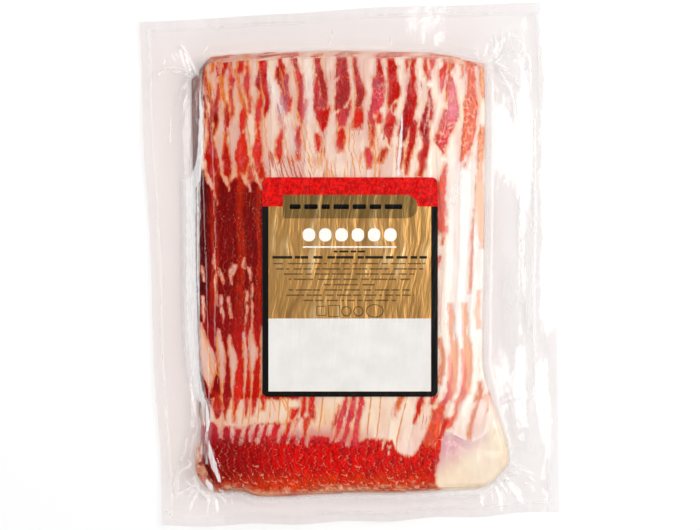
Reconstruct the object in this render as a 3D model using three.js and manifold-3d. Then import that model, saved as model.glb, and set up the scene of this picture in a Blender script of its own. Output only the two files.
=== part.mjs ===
// A clear vacuum pouch, lying flat, tight over a shingled stack of long cured
// belly slices, with a rounded label stuck on the film over the stack.
// Millimetres, +Z up, +X to the right and +Y to the top of the label.
// The pouch is one closed solid: a wide flat welded film border round a block
// whose top steps up at the left edge of every slice.  The label is a thin
// sheet that follows the film.
import * as THREE from "three";
import { mergeVertices } from "three/addons/utils/BufferGeometryUtils.js";
import Module from "manifold-3d";

const wasm = await Module();
wasm.setup();

// ---------------------------------------------------------------- dimensions
// film pouch, corner to corner (turned about 2.4 degrees against the food)
const POUCH_TL = [-104.2, 120.3];
const POUCH_TR = [97.3, 129.7];
const POUCH_BR = [104.2, -122.3];
const POUCH_BL = [-92.4, -129.7];
const EDGE_BULGE = 1.5;          // how far the top and right edges bow out
const EDGE_WAVE = 0.45;          // ripple of the cut edge
const FILM_BORDER = 0.8;         // thickness of the film border
const BORDER_HEIGHT = 2.2;       // mean height of the border's upper face
const BORDER_WAVE = 0.7;         // how far the border ripples up and down
const BORDER_LIFT = 1.1;         // extra rise of the outer corners

// food block
const FOOD_LEFT = -78.3;
const FOOD_RIGHT = 67.4;
const FOOD_TOP = 103.6;          // end of the stack at the top, at its sides
const FOOD_TOP_ARCH = 3.4;       // rise of the top end towards the middle
const FOOD_BOTTOM = -113.0;
const LOW_BELLY = 2.6;           // the low end sags lower left of the middle
const TOP_LEFT_CUT = 10.5;       // chamfer of the top left corner
const BOTTOM_LEFT_CUT = 13.0;
const FAT_LOBE = 12.6;           // loose fat that bulges out at the lower right
const FAT_LOBE_Y = -99.0;
const STACK_HEIGHT = 11.4;
const WALL_LEFT = 7.0;           // how far the film leans in on each side
const WALL_RIGHT = 2.0;
const WALL_TOP = 6.2;
const WALL_BOTTOM = 3.6;
const FOOT_FILLET = 1.9;         // film that bridges from wall to border
const FOOT_REACH = 2.4;

// slices: visible strip of each, at the top end and at the lower end
const SLICE_STEP = 1.15;         // height of each step
const STEP_RUN = 0.38;           // half width of a step's slope
const FIRST_EDGE_TOP = -71.1;
const FIRST_EDGE_LOW = -64.9;
const STRIPS_TOP = [7.9, 7.9, 9.6, 5.6, 5.7, 7.1, 4.6, 4.8, 5.9, 5.6, 4.4, 4.4,
  4.9, 5.0, 6.1, 5.7, 6.0, 7.2, 6.6, 4.8, 8.0, 6.5];
const STRIPS_LOW = [5.4, 5.9, 3.4, 4.8, 6.2, 5.6, 5.4, 4.6, 5.0, 5.8, 4.8, 4.6,
  4.8, 4.7, 4.9, 5.1, 5.6, 6.1, 6.6, 6.4, 6.8, 6.3];
const LEAN_LEFT = 3.4;           // sideways sway of the left slices
const LEAN_RIGHT = -4.2;         // and of the right ones, below the top end

// label
const LABEL_LEFT = -42.4;
const LABEL_RIGHT = 43.6;
const LABEL_TOP = 42.8;
const LABEL_BOTTOM = -64.9;
const LABEL_RADIUS = 3.2;
const LABEL_GAP = 0.3;
const LABEL_THICK = 0.4;
const LABEL_SMOOTH = 0.55;       // the label flattens the steps under it

const ROWS = 30;                 // rows of the grid along the slices

// ------------------------------------------------------------ small functions
const clamp = (v, a = 0, b = 1) => Math.min(b, Math.max(a, v));
const mix = (a, b, t) => a + (b - a) * t;
const smooth = (a, b, v) => { const t = clamp((v - a) / (b - a)); return t * t * (3 - 2 * t); };
const bump = (v, centre, width) => Math.exp(-(((v - centre) / width) ** 2));

// outline of the pouch
const pouchLeft = (y) => {
  const t = (y - POUCH_BL[1]) / (POUCH_TL[1] - POUCH_BL[1]);
  return mix(POUCH_BL[0], POUCH_TL[0], t) + EDGE_WAVE * Math.sin(y / 17 + 1.1);
};
const pouchRight = (y) => {
  const t = (y - POUCH_BR[1]) / (POUCH_TR[1] - POUCH_BR[1]);
  return mix(POUCH_BR[0], POUCH_TR[0], t) + EDGE_BULGE * Math.sin(Math.PI * clamp(t))
    + 0.4 * EDGE_WAVE * Math.sin(y / 13);
};
const pouchTop = (x) => {
  const t = (x - POUCH_TL[0]) / (POUCH_TR[0] - POUCH_TL[0]);
  return mix(POUCH_TL[1], POUCH_TR[1], t) + EDGE_BULGE * Math.sin(Math.PI * clamp((t - 0.2) / 0.8))
    + 0.5 * EDGE_WAVE * Math.sin(x / 11);
};
const pouchBottom = (x) => {
  const t = (x - POUCH_BL[0]) / (POUCH_BR[0] - POUCH_BL[0]);
  return mix(POUCH_BL[1], POUCH_BR[1], t) - EDGE_BULGE * Math.sin(Math.PI * clamp(t))
    + 1.3 * EDGE_WAVE * Math.sin(x / 7.2 + 2.0);
};

// outline of the food block, at its foot
const foodLeft = (y) => FOOD_LEFT + 3.6 * smooth(90, -80, y) - 2.2 * bump(y, -98, 11);
const foodRight = (y) => FOOD_RIGHT + 0.6 * Math.sin(y / 40)
  + FAT_LOBE * smooth(-48, FAT_LOBE_Y, y) ** 0.85;
const foodTop = (x) => FOOD_TOP + FOOD_TOP_ARCH * (1 - (x / 72) ** 2) - 3.4 * smooth(40, 70, x)
  - TOP_LEFT_CUT * smooth(FOOD_LEFT + 11, FOOD_LEFT - 1.5, x);
const foodBottom = (x) => FOOD_BOTTOM - LOW_BELLY * smooth(-54, -44, x) * (1 - 0.73 * smooth(-40, 0, x)) + 2.2 * smooth(20, 66, x)
  + BOTTOM_LEFT_CUT * smooth(-67, -79, x) + 13.5 * smooth(64, 82, x) ** 1.3;

// left edge of every slice
const stripEdges = (first, strips) => strips.reduce((list, w) => [...list, list[list.length - 1] + w], [first]);
const EDGES_TOP = stripEdges(FIRST_EDGE_TOP, STRIPS_TOP);
const EDGES_LOW = stripEdges(FIRST_EDGE_LOW, STRIPS_LOW);
const SLICES = EDGES_TOP.length;
const sliceEdge = (k, y) => {
  const along = smooth(88, -52, y);
  const side = k / (SLICES - 1);
  return mix(EDGES_TOP[k], EDGES_LOW[k], along)
    + LEAN_LEFT * bump(y, 52, 34) * clamp(1 - side * 3.4)
    + LEAN_RIGHT * bump(y, 58, 24) * side ** 5
    - 3.0 * smooth(-72, -104, y) * side ** 3;
};

// how far a point is inside each side of the block, as a height factor
const wall = (d, run) => 1 - (1 - clamp(d / run)) ** 1.9;

const borderTop = (x, y) => {
  const ripple = Math.sin(x / 13 + 0.6) * Math.cos(y / 19) + 0.5 * Math.sin(y / 9.5 + x / 23);
  const corner = smooth(170, 235, Math.hypot(x, y) * 1.35);
  return BORDER_HEIGHT + BORDER_WAVE * ripple * 0.8 + BORDER_LIFT * corner;
};

const underLabel = (x, y) => smooth(LABEL_LEFT - 4, LABEL_LEFT + 2, x) * smooth(LABEL_RIGHT + 4, LABEL_RIGHT - 2, x)
  * smooth(LABEL_TOP + 4, LABEL_TOP - 2, y) * smooth(LABEL_BOTTOM - 4, LABEL_BOTTOM + 2, y);

// upper face; frac is the place inside a slice's visible strip, 0 to 1
const topHeight = (x, y, frac) => {
  const dl = x - foodLeft(y), dr = foodRight(y) - x, dt = foodTop(x) - y, db = y - foodBottom(x);
  const inside = wall(dl, WALL_LEFT) * wall(dr, WALL_RIGHT) * wall(dt, WALL_TOP) * wall(db, WALL_BOTTOM);
  const out = Math.hypot(Math.min(dl, 0), Math.min(dr, 0), Math.min(dt, 0), Math.min(db, 0));
  const border = borderTop(x, y);
  const foot = FOOT_FILLET * Math.exp(-out / FOOT_REACH);
  const lie = STACK_HEIGHT - 1.0 * smooth(30, 72, x) - 0.8 * smooth(-66, -112, y)
    + 0.35 * Math.sin(y / 31) - 1.6 * smooth(60, 80, x);
  const saw = SLICE_STEP * (0.5 - frac) * (1 - LABEL_SMOOTH * underLabel(x, y)) * inside;
  return mix(border + foot, lie, inside) + saw;
};

// lower face; below zero inside the block, so that the cut at zero is flat
const bottomHeight = (x, y) => {
  const dl = x - foodLeft(y), dr = foodRight(y) - x, dt = foodTop(x) - y, db = y - foodBottom(x);
  const out = Math.hypot(Math.min(dl, 0), Math.min(dr, 0), Math.min(dt, 0), Math.min(db, 0));
  const raised = borderTop(x, y) - FILM_BORDER;
  return mix(-1.2, raised, 1 - Math.exp(-out / 3.2));
};

// ------------------------------------------------------------------ the grid
const columns = [];
columns.push({ x: (y) => pouchLeft(y) });
for (const t of [0.3, 0.62, 0.86]) columns.push({ x: (y) => mix(pouchLeft(y), foodLeft(y), t) });
columns.push({ x: (y) => foodLeft(y) });
columns.push({ x: (y) => foodLeft(y) + WALL_LEFT * 0.28 });
columns.push({ x: (y) => foodLeft(y) + WALL_LEFT * 0.62 });
for (let k = 0; k < SLICES; k++) {
  if (k > 0) columns.push({ slice: k - 1, x: (y) => sliceEdge(k, y) - STEP_RUN, frac: 1 });
  columns.push({ slice: k, x: (y) => sliceEdge(k, y) + STEP_RUN, frac: 0 });
}
columns.push({ x: (y) => foodRight(y) - WALL_RIGHT, frac: 0.9 });
columns.push({ x: (y) => foodRight(y) });
for (const t of [0.12, 0.42, 0.72]) columns.push({ x: (y) => mix(foodRight(y), pouchRight(y), t) });
columns.push({ x: (y) => pouchRight(y) });

const rows = [];
rows.push((x) => pouchBottom(x));
for (const t of [0.45, 0.8]) rows.push((x) => mix(pouchBottom(x), foodBottom(x), t));
rows.push((x) => foodBottom(x));
rows.push((x) => foodBottom(x) + WALL_BOTTOM * 0.35);
for (let j = 0; j <= ROWS; j++) {
  const t = j / ROWS;
  rows.push((x) => mix(foodBottom(x) + WALL_BOTTOM, foodTop(x) - WALL_TOP, t));
}
rows.push((x) => foodTop(x) - WALL_TOP * 0.55);
rows.push((x) => foodTop(x) - WALL_TOP * 0.2);
rows.push((x) => foodTop(x));
for (const t of [0.2, 0.55]) rows.push((x) => mix(foodTop(x), pouchTop(x), t));
rows.push((x) => pouchTop(x));

const NC = columns.length, NR = rows.length;
const grid = [];
for (let j = 0; j < NR; j++) {
  for (let i = 0; i < NC; i++) {
    let y = mix(-120, 120, j / (NR - 1));
    let x = columns[i].x(y);
    for (let n = 0; n < 12; n++) { y = rows[j](x); x = columns[i].x(y); }
    const frac = columns[i].frac ?? 0.5;
    grid.push({ x, y, top: topHeight(x, y, frac), low: bottomHeight(x, y) });
  }
}
const at = (i, j) => j * NC + i;

// a closed sheet between two heights over columns i0..i1 and rows j0..j1
function slab(i0, i1, j0, j1, upper, lower) {
  const w = i1 - i0 + 1, h = j1 - j0 + 1;
  const pos = [], idx = [];
  for (const z of [upper, lower]) {
    for (let j = j0; j <= j1; j++) for (let i = i0; i <= i1; i++) {
      const p = grid[at(i, j)];
      pos.push(p.x, p.y, z(p));
    }
  }
  const n = w * h;
  const id = (i, j, s) => s * n + j * w + i;
  for (let j = 0; j < h - 1; j++) for (let i = 0; i < w - 1; i++) {
    const a = id(i, j, 0), b = id(i + 1, j, 0), c = id(i + 1, j + 1, 0), d = id(i, j + 1, 0);
    idx.push(a, b, c, a, c, d);
    idx.push(a + n, c + n, b + n, a + n, d + n, c + n);
  }
  const rim = [];
  for (let i = 0; i < w - 1; i++) rim.push([id(i, 0, 0), id(i + 1, 0, 0)]);
  for (let j = 0; j < h - 1; j++) rim.push([id(w - 1, j, 0), id(w - 1, j + 1, 0)]);
  for (let i = w - 1; i > 0; i--) rim.push([id(i, h - 1, 0), id(i - 1, h - 1, 0)]);
  for (let j = h - 1; j > 0; j--) rim.push([id(0, j, 0), id(0, j - 1, 0)]);
  for (const [a, b] of rim) idx.push(a, a + n, b + n, a, b + n, b);
  const g = new THREE.BufferGeometry();
  g.setAttribute("position", new THREE.Float32BufferAttribute(pos, 3));
  g.setIndex(idx);
  return g;
}

// --------------------------------------------------------- solids and booleans
function toSolid(geometry) {
  const g = geometry.clone();
  for (const name of Object.keys(g.attributes)) if (name !== "position") g.deleteAttribute(name);
  const m = mergeVertices(g, 1e-4);
  return new wasm.Manifold(new wasm.Mesh({
    numProp: 3,
    vertProperties: new Float32Array(m.attributes.position.array),
    triVerts: new Uint32Array(m.index.array),
  }));
}
function toGeometry(solid, dx, dy) {
  const m = solid.getMesh();
  const g = new THREE.BufferGeometry();
  const p = new Float32Array(m.vertProperties);
  for (let i = 0; i < p.length; i += 3) { p[i] -= dx; p[i + 1] -= dy; }
  g.setAttribute("position", new THREE.BufferAttribute(p, 3));
  g.setIndex(new THREE.BufferAttribute(new Uint32Array(m.triVerts), 1));
  g.computeVertexNormals();
  return g;
}

const floorCutter = new THREE.BoxGeometry(300, 360, 60);
floorCutter.translate(0, 0, 30);
const pouchSolid = toSolid(slab(0, NC - 1, 0, NR - 1, (p) => p.top, (p) => p.low))
  .intersect(toSolid(floorCutter));

// label: the film's own facets, raised, and trimmed to a rounded rectangle
const shape = new THREE.Shape();
{
  const l = LABEL_LEFT, r = LABEL_RIGHT, t = LABEL_TOP, b = LABEL_BOTTOM, q = LABEL_RADIUS;
  shape.moveTo(l + q, b);
  shape.lineTo(r - q, b);
  shape.absarc(r - q, b + q, q, -Math.PI / 2, 0, false);
  shape.lineTo(r, t - q);
  shape.absarc(r - q, t - q, q, 0, Math.PI / 2, false);
  shape.lineTo(l + q, t);
  shape.absarc(l + q, t - q, q, Math.PI / 2, Math.PI, false);
  shape.lineTo(l, b + q);
  shape.absarc(l + q, b + q, q, Math.PI, Math.PI * 1.5, false);
}
const labelPrism = new THREE.ExtrudeGeometry(shape, { depth: 40, bevelEnabled: false, curveSegments: 5 });
const inner = (test) => {
  const keep = [];
  for (let j = 0; j < NR; j++) for (let i = 0; i < NC; i++) if (test(grid[at(i, j)])) keep.push([i, j]);
  const is = keep.map((k) => k[0]), js = keep.map((k) => k[1]);
  return [Math.min(...is) - 1, Math.max(...is) + 1, Math.min(...js) - 1, Math.max(...js) + 1];
};
const [ia, ib, ja, jb] = inner((p) => p.x > LABEL_LEFT && p.x < LABEL_RIGHT && p.y > LABEL_BOTTOM && p.y < LABEL_TOP);
const labelSolid = toSolid(slab(ia, ib, ja, jb, (p) => p.top + LABEL_GAP + LABEL_THICK, (p) => p.top + LABEL_GAP))
  .intersect(toSolid(labelPrism));

// the origin is under the middle of the pouch
const xs = grid.map((p) => p.x), ys = grid.map((p) => p.y);
const CENTRE_X = (Math.min(...xs) + Math.max(...xs)) / 2;
const CENTRE_Y = (Math.min(...ys) + Math.max(...ys)) / 2;

const group = new THREE.Group();
const pouch = new THREE.Mesh(toGeometry(pouchSolid, CENTRE_X, CENTRE_Y),
  new THREE.MeshStandardMaterial({ color: 0xc9503c, roughness: 0.3, metalness: 0 }));
pouch.name = "vacuum_pouch";
const label = new THREE.Mesh(toGeometry(labelSolid, CENTRE_X, CENTRE_Y),
  new THREE.MeshStandardMaterial({ color: 0xc79a56, roughness: 0.35, metalness: 0.5 }));
label.name = "front_label";
group.add(pouch, label);

export default group;
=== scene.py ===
import bpy
import math
import numpy as np
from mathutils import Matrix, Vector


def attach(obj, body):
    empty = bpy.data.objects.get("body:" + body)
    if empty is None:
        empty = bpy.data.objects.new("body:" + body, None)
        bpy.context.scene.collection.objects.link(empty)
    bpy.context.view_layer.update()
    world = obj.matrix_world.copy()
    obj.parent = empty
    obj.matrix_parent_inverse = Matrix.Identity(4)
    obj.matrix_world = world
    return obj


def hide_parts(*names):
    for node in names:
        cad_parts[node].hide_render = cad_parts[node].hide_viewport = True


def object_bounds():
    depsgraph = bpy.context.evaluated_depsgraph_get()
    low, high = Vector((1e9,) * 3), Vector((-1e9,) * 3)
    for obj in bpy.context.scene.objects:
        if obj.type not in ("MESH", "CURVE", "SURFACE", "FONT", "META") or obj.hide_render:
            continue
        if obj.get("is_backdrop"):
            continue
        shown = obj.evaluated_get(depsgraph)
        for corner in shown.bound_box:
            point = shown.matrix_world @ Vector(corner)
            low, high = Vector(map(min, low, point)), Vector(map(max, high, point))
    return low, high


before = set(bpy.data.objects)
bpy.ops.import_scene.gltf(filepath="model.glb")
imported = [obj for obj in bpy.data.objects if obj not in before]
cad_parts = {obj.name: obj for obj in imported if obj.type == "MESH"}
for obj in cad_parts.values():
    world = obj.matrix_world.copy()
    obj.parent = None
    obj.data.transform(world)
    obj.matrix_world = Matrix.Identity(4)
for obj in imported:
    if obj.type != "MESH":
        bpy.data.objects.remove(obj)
CAD_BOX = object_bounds()


def plain(box):
    return [[float(c) for c in corner] for corner in box]


# ------------------------------------------------------------------ units
# Shapes are laid out on a drawing grid, u to the right and v downwards, one
# unit 0.494 mm.  gx and gy give millimetres before the shift that puts the
# origin under the middle of the pouch.
UNIT = 0.494
SHIFT_X = 0.2196
SHIFT_Y = -0.0837


def gx(u):
    return (u - 349.0) * UNIT


def gy(v):
    return (264.5 - v) * UNIT


def to_u(x):
    return x / UNIT + 349.0


def to_v(y):
    return 264.5 - y / UNIT


def srgb(r, g, b):
    c = np.array([r, g, b], dtype=float) / 255.0
    return np.where(c <= 0.04045, c / 12.92, ((c + 0.055) / 1.055) ** 2.4)


def clip01(t):
    return np.clip(t, 0.0, 1.0)


def smooth(a, b, t):
    t = clip01((t - a) / (b - a))
    return t * t * (3 - 2 * t)


def bump(t, centre, width):
    return np.exp(-(((t - centre) / width) ** 2))


def mix(a, b, t):
    return a + (b - a) * t


# ------------------------------------------------------------------ noise
def lattice(ix, iy, seed):
    h = (ix.astype(np.int64) * 374761393 + iy.astype(np.int64) * 668265263 + seed * 974634777) & 0xFFFFFFFF
    h = ((h ^ (h >> 13)) * 1274126177) & 0xFFFFFFFF
    h = ((h ^ (h >> 16)) * 2246822519) & 0xFFFFFFFF
    h = h ^ (h >> 15)
    return (h & 0xFFFFFF) / float(0xFFFFFF) * 2.0 - 1.0


def vnoise(x, y, seed):
    x0 = np.floor(x)
    y0 = np.floor(y)
    fx = x - x0
    fy = y - y0
    fx = fx * fx * fx * (fx * (fx * 6 - 15) + 10)
    fy = fy * fy * fy * (fy * (fy * 6 - 15) + 10)
    a = lattice(x0, y0, seed)
    b = lattice(x0 + 1, y0, seed)
    c = lattice(x0, y0 + 1, seed)
    d = lattice(x0 + 1, y0 + 1, seed)
    return (a * (1 - fx) + b * fx) * (1 - fy) + (c * (1 - fx) + d * fx) * fy


def fbm(x, y, seed, octaves=3):
    total = 0.0
    gain = 1.0
    norm = 0.0
    for o in range(octaves):
        total = total + gain * vnoise(x * 2 ** o + 17.3 * o, y * 2 ** o - 9.1 * o, seed + o)
        norm += gain
        gain *= 0.5
    return total / norm


# ------------------------------------------------- outline of pouch and food
POUCH_TL = (-104.2, 120.3)
POUCH_TR = (97.3, 129.7)
POUCH_BR = (104.2, -122.3)
POUCH_BL = (-92.4, -129.7)
EDGE_BULGE = 1.5
EDGE_WAVE = 0.45
STACK_HEIGHT = 11.4


def pouch_left(y):
    t = (y - POUCH_BL[1]) / (POUCH_TL[1] - POUCH_BL[1])
    return mix(POUCH_BL[0], POUCH_TL[0], t) + EDGE_WAVE * np.sin(y / 17 + 1.1)


def pouch_right(y):
    t = (y - POUCH_BR[1]) / (POUCH_TR[1] - POUCH_BR[1])
    return mix(POUCH_BR[0], POUCH_TR[0], t) + EDGE_BULGE * np.sin(math.pi * clip01(t)) + 0.4 * EDGE_WAVE * np.sin(y / 13)


def pouch_top(x):
    t = (x - POUCH_TL[0]) / (POUCH_TR[0] - POUCH_TL[0])
    return mix(POUCH_TL[1], POUCH_TR[1], t) + EDGE_BULGE * np.sin(math.pi * clip01((t - 0.2) / 0.8)) + 0.5 * EDGE_WAVE * np.sin(x / 11)


def pouch_bottom(x):
    t = (x - POUCH_BL[0]) / (POUCH_BR[0] - POUCH_BL[0])
    return mix(POUCH_BL[1], POUCH_BR[1], t) - EDGE_BULGE * np.sin(math.pi * clip01(t)) + 1.3 * EDGE_WAVE * np.sin(x / 7.2 + 2.0)


def food_left(y):
    return -78.3 + 3.6 * smooth(90, -80, y) - 2.2 * bump(y, -98, 11)


def food_right(y):
    return 67.4 + 0.6 * np.sin(y / 40) + 12.6 * smooth(-48, -99, y) ** 0.85


def food_top(x):
    return 103.6 + 3.4 * (1 - (x / 72) ** 2) - 3.4 * smooth(40, 70, x) - 10.5 * smooth(-67.3, -79.8, x)


def food_bottom(x):
    return (-113.0 - 2.6 * smooth(-54, -44, x) * (1 - 0.73 * smooth(-40, 0, x)) + 2.2 * smooth(20, 66, x) + 13.0 * smooth(-67, -79, x)
            + 13.5 * smooth(64, 82, x) ** 1.3)


def wall(d, run):
    return 1 - (1 - clip01(d / run)) ** 1.9


def inset(z, run):
    return run * (1 - (1 - clip01(z / STACK_HEIGHT)) ** (1 / 1.9))


WALL_LEFT, WALL_RIGHT, WALL_TOP, WALL_BOTTOM = 7.0, 2.0, 6.2, 3.6


def border_top(x, y):
    ripple = np.sin(x / 13 + 0.6) * np.cos(y / 19) + 0.5 * np.sin(y / 9.5 + x / 23)
    corner = smooth(170, 235, np.hypot(x, y) * 1.35)
    return 2.2 + 0.56 * ripple + 1.1 * corner


# ------------------------------------------------------- the slices' layout
# left edge of every visible strip (u) at stations down the pack (v)
EDGE_V = [60, 100, 140, 180, 260, 325, 355, 385, 415]
EDGE_U = [
    [204.0, 203.5, 203.0, 201.5, 200.5, 200.0, 200.5, 205.0, 212.0],
    [206.0, 210.0, 214.5, 216.0, 218.0, 217.0, 217.5, 220.5, 224.0],
    [219.5, 224.0, 230.5, 231.0, 230.0, 228.0, 229.0, 231.5, 233.5],
    [236.0, 242.5, 250.0, 251.5, 245.5, 243.0, 243.8, 244.0, 243.3],
    [255.0, 263.5, 261.5, 261.0, 254.0, 249.0, 250.0, 251.0, 250.0],
    [268.0, 271.0, 271.0, 270.0, 264.0, 261.0, 260.5, 260.0, 258.5],
    [278.5, 286.0, 284.0, 281.0, 275.0, 272.0, 271.0, 270.5, 270.0],
    [291.0, 299.5, 297.0, 293.0, 286.0, 282.0, 281.0, 280.0, 279.0],
    [302.0, 307.5, 306.0, 303.0, 297.0, 292.0, 291.0, 289.0, 287.5],
    [313.5, 316.5, 316.0, 314.0, 309.0, 305.0, 303.0, 301.5, 300.0],
    [325.0, 326.5, 326.0, 324.0, 319.0, 315.0, 313.0, 311.0, 308.5],
    [337.0, 336.0, 336.0, 335.0, 330.0, 327.0, 325.0, 323.0, 321.0],
    [352.0, 354.5, 352.0, 350.0, 344.0, 340.0, 338.0, 336.0, 334.0],
    [363.0, 364.0, 361.0, 359.0, 354.0, 351.0, 349.0, 347.0, 345.0],
    [375.0, 372.0, 367.0, 366.0, 364.0, 362.0, 361.0, 361.0, 359.5],
    [386.5, 387.0, 383.0, 381.0, 377.0, 374.0, 372.5, 371.0, 369.0],
    [398.0, 397.5, 394.0, 391.0, 387.0, 384.0, 382.5, 381.0, 379.0],
    [410.5, 407.5, 402.0, 400.0, 399.0, 397.0, 396.0, 395.0, 390.5],
    [423.5, 428.0, 418.0, 413.0, 412.0, 411.0, 410.5, 410.0, 401.5],
    [438.0, 438.0, 427.0, 425.0, 427.0, 427.0, 427.0, 426.5, 415.0],
    [448.5, 446.5, 434.5, 437.0, 443.5, 439.5, 443.0, 440.5, 430.0],
    [464.0, 464.5, 461.0, 458.5, 457.5, 453.5, 456.5, 454.0, 446.0],
    [477.0, 481.0, 477.5, 475.5, 470.5, 467.0, 470.0, 467.5, 456.5],
]
SLICES = len(EDGE_U)
UNDER = 9                 # slices that lie under the first strip, at the left
LOW_CURL = [(415, 0.0), (430, -2.6), (445, -2.4), (460, 0.2), (475, 5.5), (492, 12.0)]
V_TAB = np.arange(30.0, 530.0, 1.0)


def gauss_smooth(a, sigma):
    r = int(sigma * 3) + 1
    k = np.exp(-0.5 * (np.arange(-r, r + 1) / sigma) ** 2)
    k /= k.sum()
    return np.convolve(np.pad(a, r, mode="edge"), k, mode="valid")


EDGE_TAB = np.zeros((SLICES + 1, len(V_TAB)))
for k, row in enumerate(EDGE_U):
    line = np.interp(V_TAB, EDGE_V, row)
    curl = np.interp(V_TAB, [c[0] for c in LOW_CURL], [c[1] for c in LOW_CURL])
    amount = 1.0 if k < 18 else (0.55 if k == 18 else 0.0)
    line = line + curl * amount
    if k >= 18:
        line = line - (k - 17.5) ** 0.5 * 6.5 * smooth(415, 447, V_TAB) * (1.0 if k < 21 else 0.6)
    line = gauss_smooth(line, 7.0)
    sway = 0.55 * fbm(V_TAB / 26.0, np.full_like(V_TAB, k * 3.7), 11, 2) + 0.25 * vnoise(V_TAB / 6.0, np.full_like(V_TAB, k * 5.1), 12)
    EDGE_TAB[k] = line + sway
EDGE_TAB[SLICES] = EDGE_TAB[SLICES - 1] + 15.5


def edge_u(k, v):
    return np.interp(v, V_TAB, EDGE_TAB[k])


def strip_coord(u, v):
    """Place across the strips: k at the left edge of strip k, k + 1 at the next."""
    total = np.zeros_like(u)
    for k in range(SLICES):
        a = edge_u(k, v)
        b = edge_u(k + 1, v)
        t = (u - a) / (b - a)
        if k == 0:
            total += np.minimum(t, 1.0)
        elif k == SLICES - 1:
            total += np.maximum(t, 0.0)
        else:
            total += clip01(t)
    return total


RELIEF = 0.24             # drop of a slice's top across its strip
DIVE = 1.05               # drop for every further strip, under the next slices
THICK = 1.0               # slice thickness, thinning to LIP at the left edge
LIP = 0.23


def slice_top(across):
    return np.where(across <= 1, RELIEF * (0.5 - across), -0.5 * RELIEF - DIVE * (across - 1))


def slice_thickness(across):
    return LIP + (THICK - LIP) * clip01(across)


def lie(x, y):
    """Mean height of the stack's top."""
    return (10.9 - 0.9 * smooth(30, 72, x) - 0.7 * smooth(-70, -112, y) + 0.3 * np.sin(y / 31)
            + 0.22 * fbm(x / 30, y / 34, 31, 2) - 0.8 * smooth(-60, -78, x))


def end_line(u):
    """Where the last two slices stop at the lower right, in v."""
    return np.interp(u, [430, 443, 452, 458, 464, 470, 476, 487, 500],
                     [431, 433, 434.5, 437, 440, 442, 440, 433, 427])


# ---------------------------------------------------------------- meshes
def make_mesh(name, verts_mm, faces, smooth_shade=True):
    """verts in millimetres before the shift; faces an (n, 4) or (n, 3) array."""
    v = np.array(verts_mm, dtype=float)
    v[:, 0] -= SHIFT_X
    v[:, 1] -= SHIFT_Y
    v *= 0.001
    me = bpy.data.meshes.new(name)
    n = faces.shape[0]
    w = faces.shape[1]
    me.vertices.add(len(v))
    me.vertices.foreach_set("co", v.astype(np.float32).ravel())
    me.loops.add(n * w)
    me.loops.foreach_set("vertex_index", faces.astype(np.int32).ravel())
    me.polygons.add(n)
    me.polygons.foreach_set("loop_start", (np.arange(n) * w).astype(np.int32))
    me.polygons.foreach_set("loop_total", np.full(n, w, dtype=np.int32))
    me.update(calc_edges=True)
    me.polygons.foreach_set("use_smooth", np.full(n, smooth_shade, dtype=bool))
    me.validate()
    ob = bpy.data.objects.new(name, me)
    bpy.context.scene.collection.objects.link(ob)
    return ob


def grid_faces(nu, nv, offset=0, flip=False):
    i = np.arange(nu - 1)
    j = np.arange(nv - 1)
    I, J = np.meshgrid(i, j)
    a = (J * nu + I + offset).ravel()
    b = a + 1
    c = a + nu + 1
    d = a + nu
    return np.stack([a, d, c, b] if flip else [a, b, c, d], axis=1)


def rim_faces(nu, nv, lower):
    """Side faces between an upper grid at 0 and a lower grid at `lower`; rows run upwards in y."""
    a = []
    bottom = np.arange(nu)
    right = np.arange(nv) * nu + nu - 1
    top = (nv - 1) * nu + np.arange(nu)[::-1]
    left = (np.arange(nv) * nu)[::-1]
    for line in (bottom, right, top, left):
        p, q = line[:-1], line[1:]
        a.append(np.stack([p, p + lower, q + lower, q], axis=1))
    return np.concatenate(a)


def set_float(ob, name, values):
    at = ob.data.attributes.new(name, "FLOAT", "POINT")
    at.data.foreach_set("value", np.asarray(values, dtype=np.float32).ravel())


def set_color(ob, name, rgb):
    at = ob.data.attributes.new(name, "FLOAT_COLOR", "POINT")
    rgba = np.ones((len(rgb), 4), dtype=np.float32)
    rgba[:, :3] = rgb
    at.data.foreach_set("color", rgba.ravel())


# ------------------------------------------------- pattern of lean and fat
TONES = {
    "maroon": (70, 4, 10), "deep": (128, 2, 2), "crimson": (160, 14, 22), "red": (196, 14, 4),
    "bright": (216, 38, 26), "rose": (198, 62, 72), "mauve": (190, 84, 104), "pink": (226, 112, 140),
    "hotpink": (222, 70, 92), "ored": (236, 92, 58), "salmon": (244, 128, 92), "obrown": (178, 74, 16),
    "dusk": (172, 44, 46), "blood": (182, 16, 4), "flame": (214, 44, 16), "orange": (226, 128, 56), "peach": (252, 188, 132), "brown": (150, 60, 24), "ocol": (186, 40, 6),
}
TONES = {k: srgb(*v) for k, v in TONES.items()}

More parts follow.
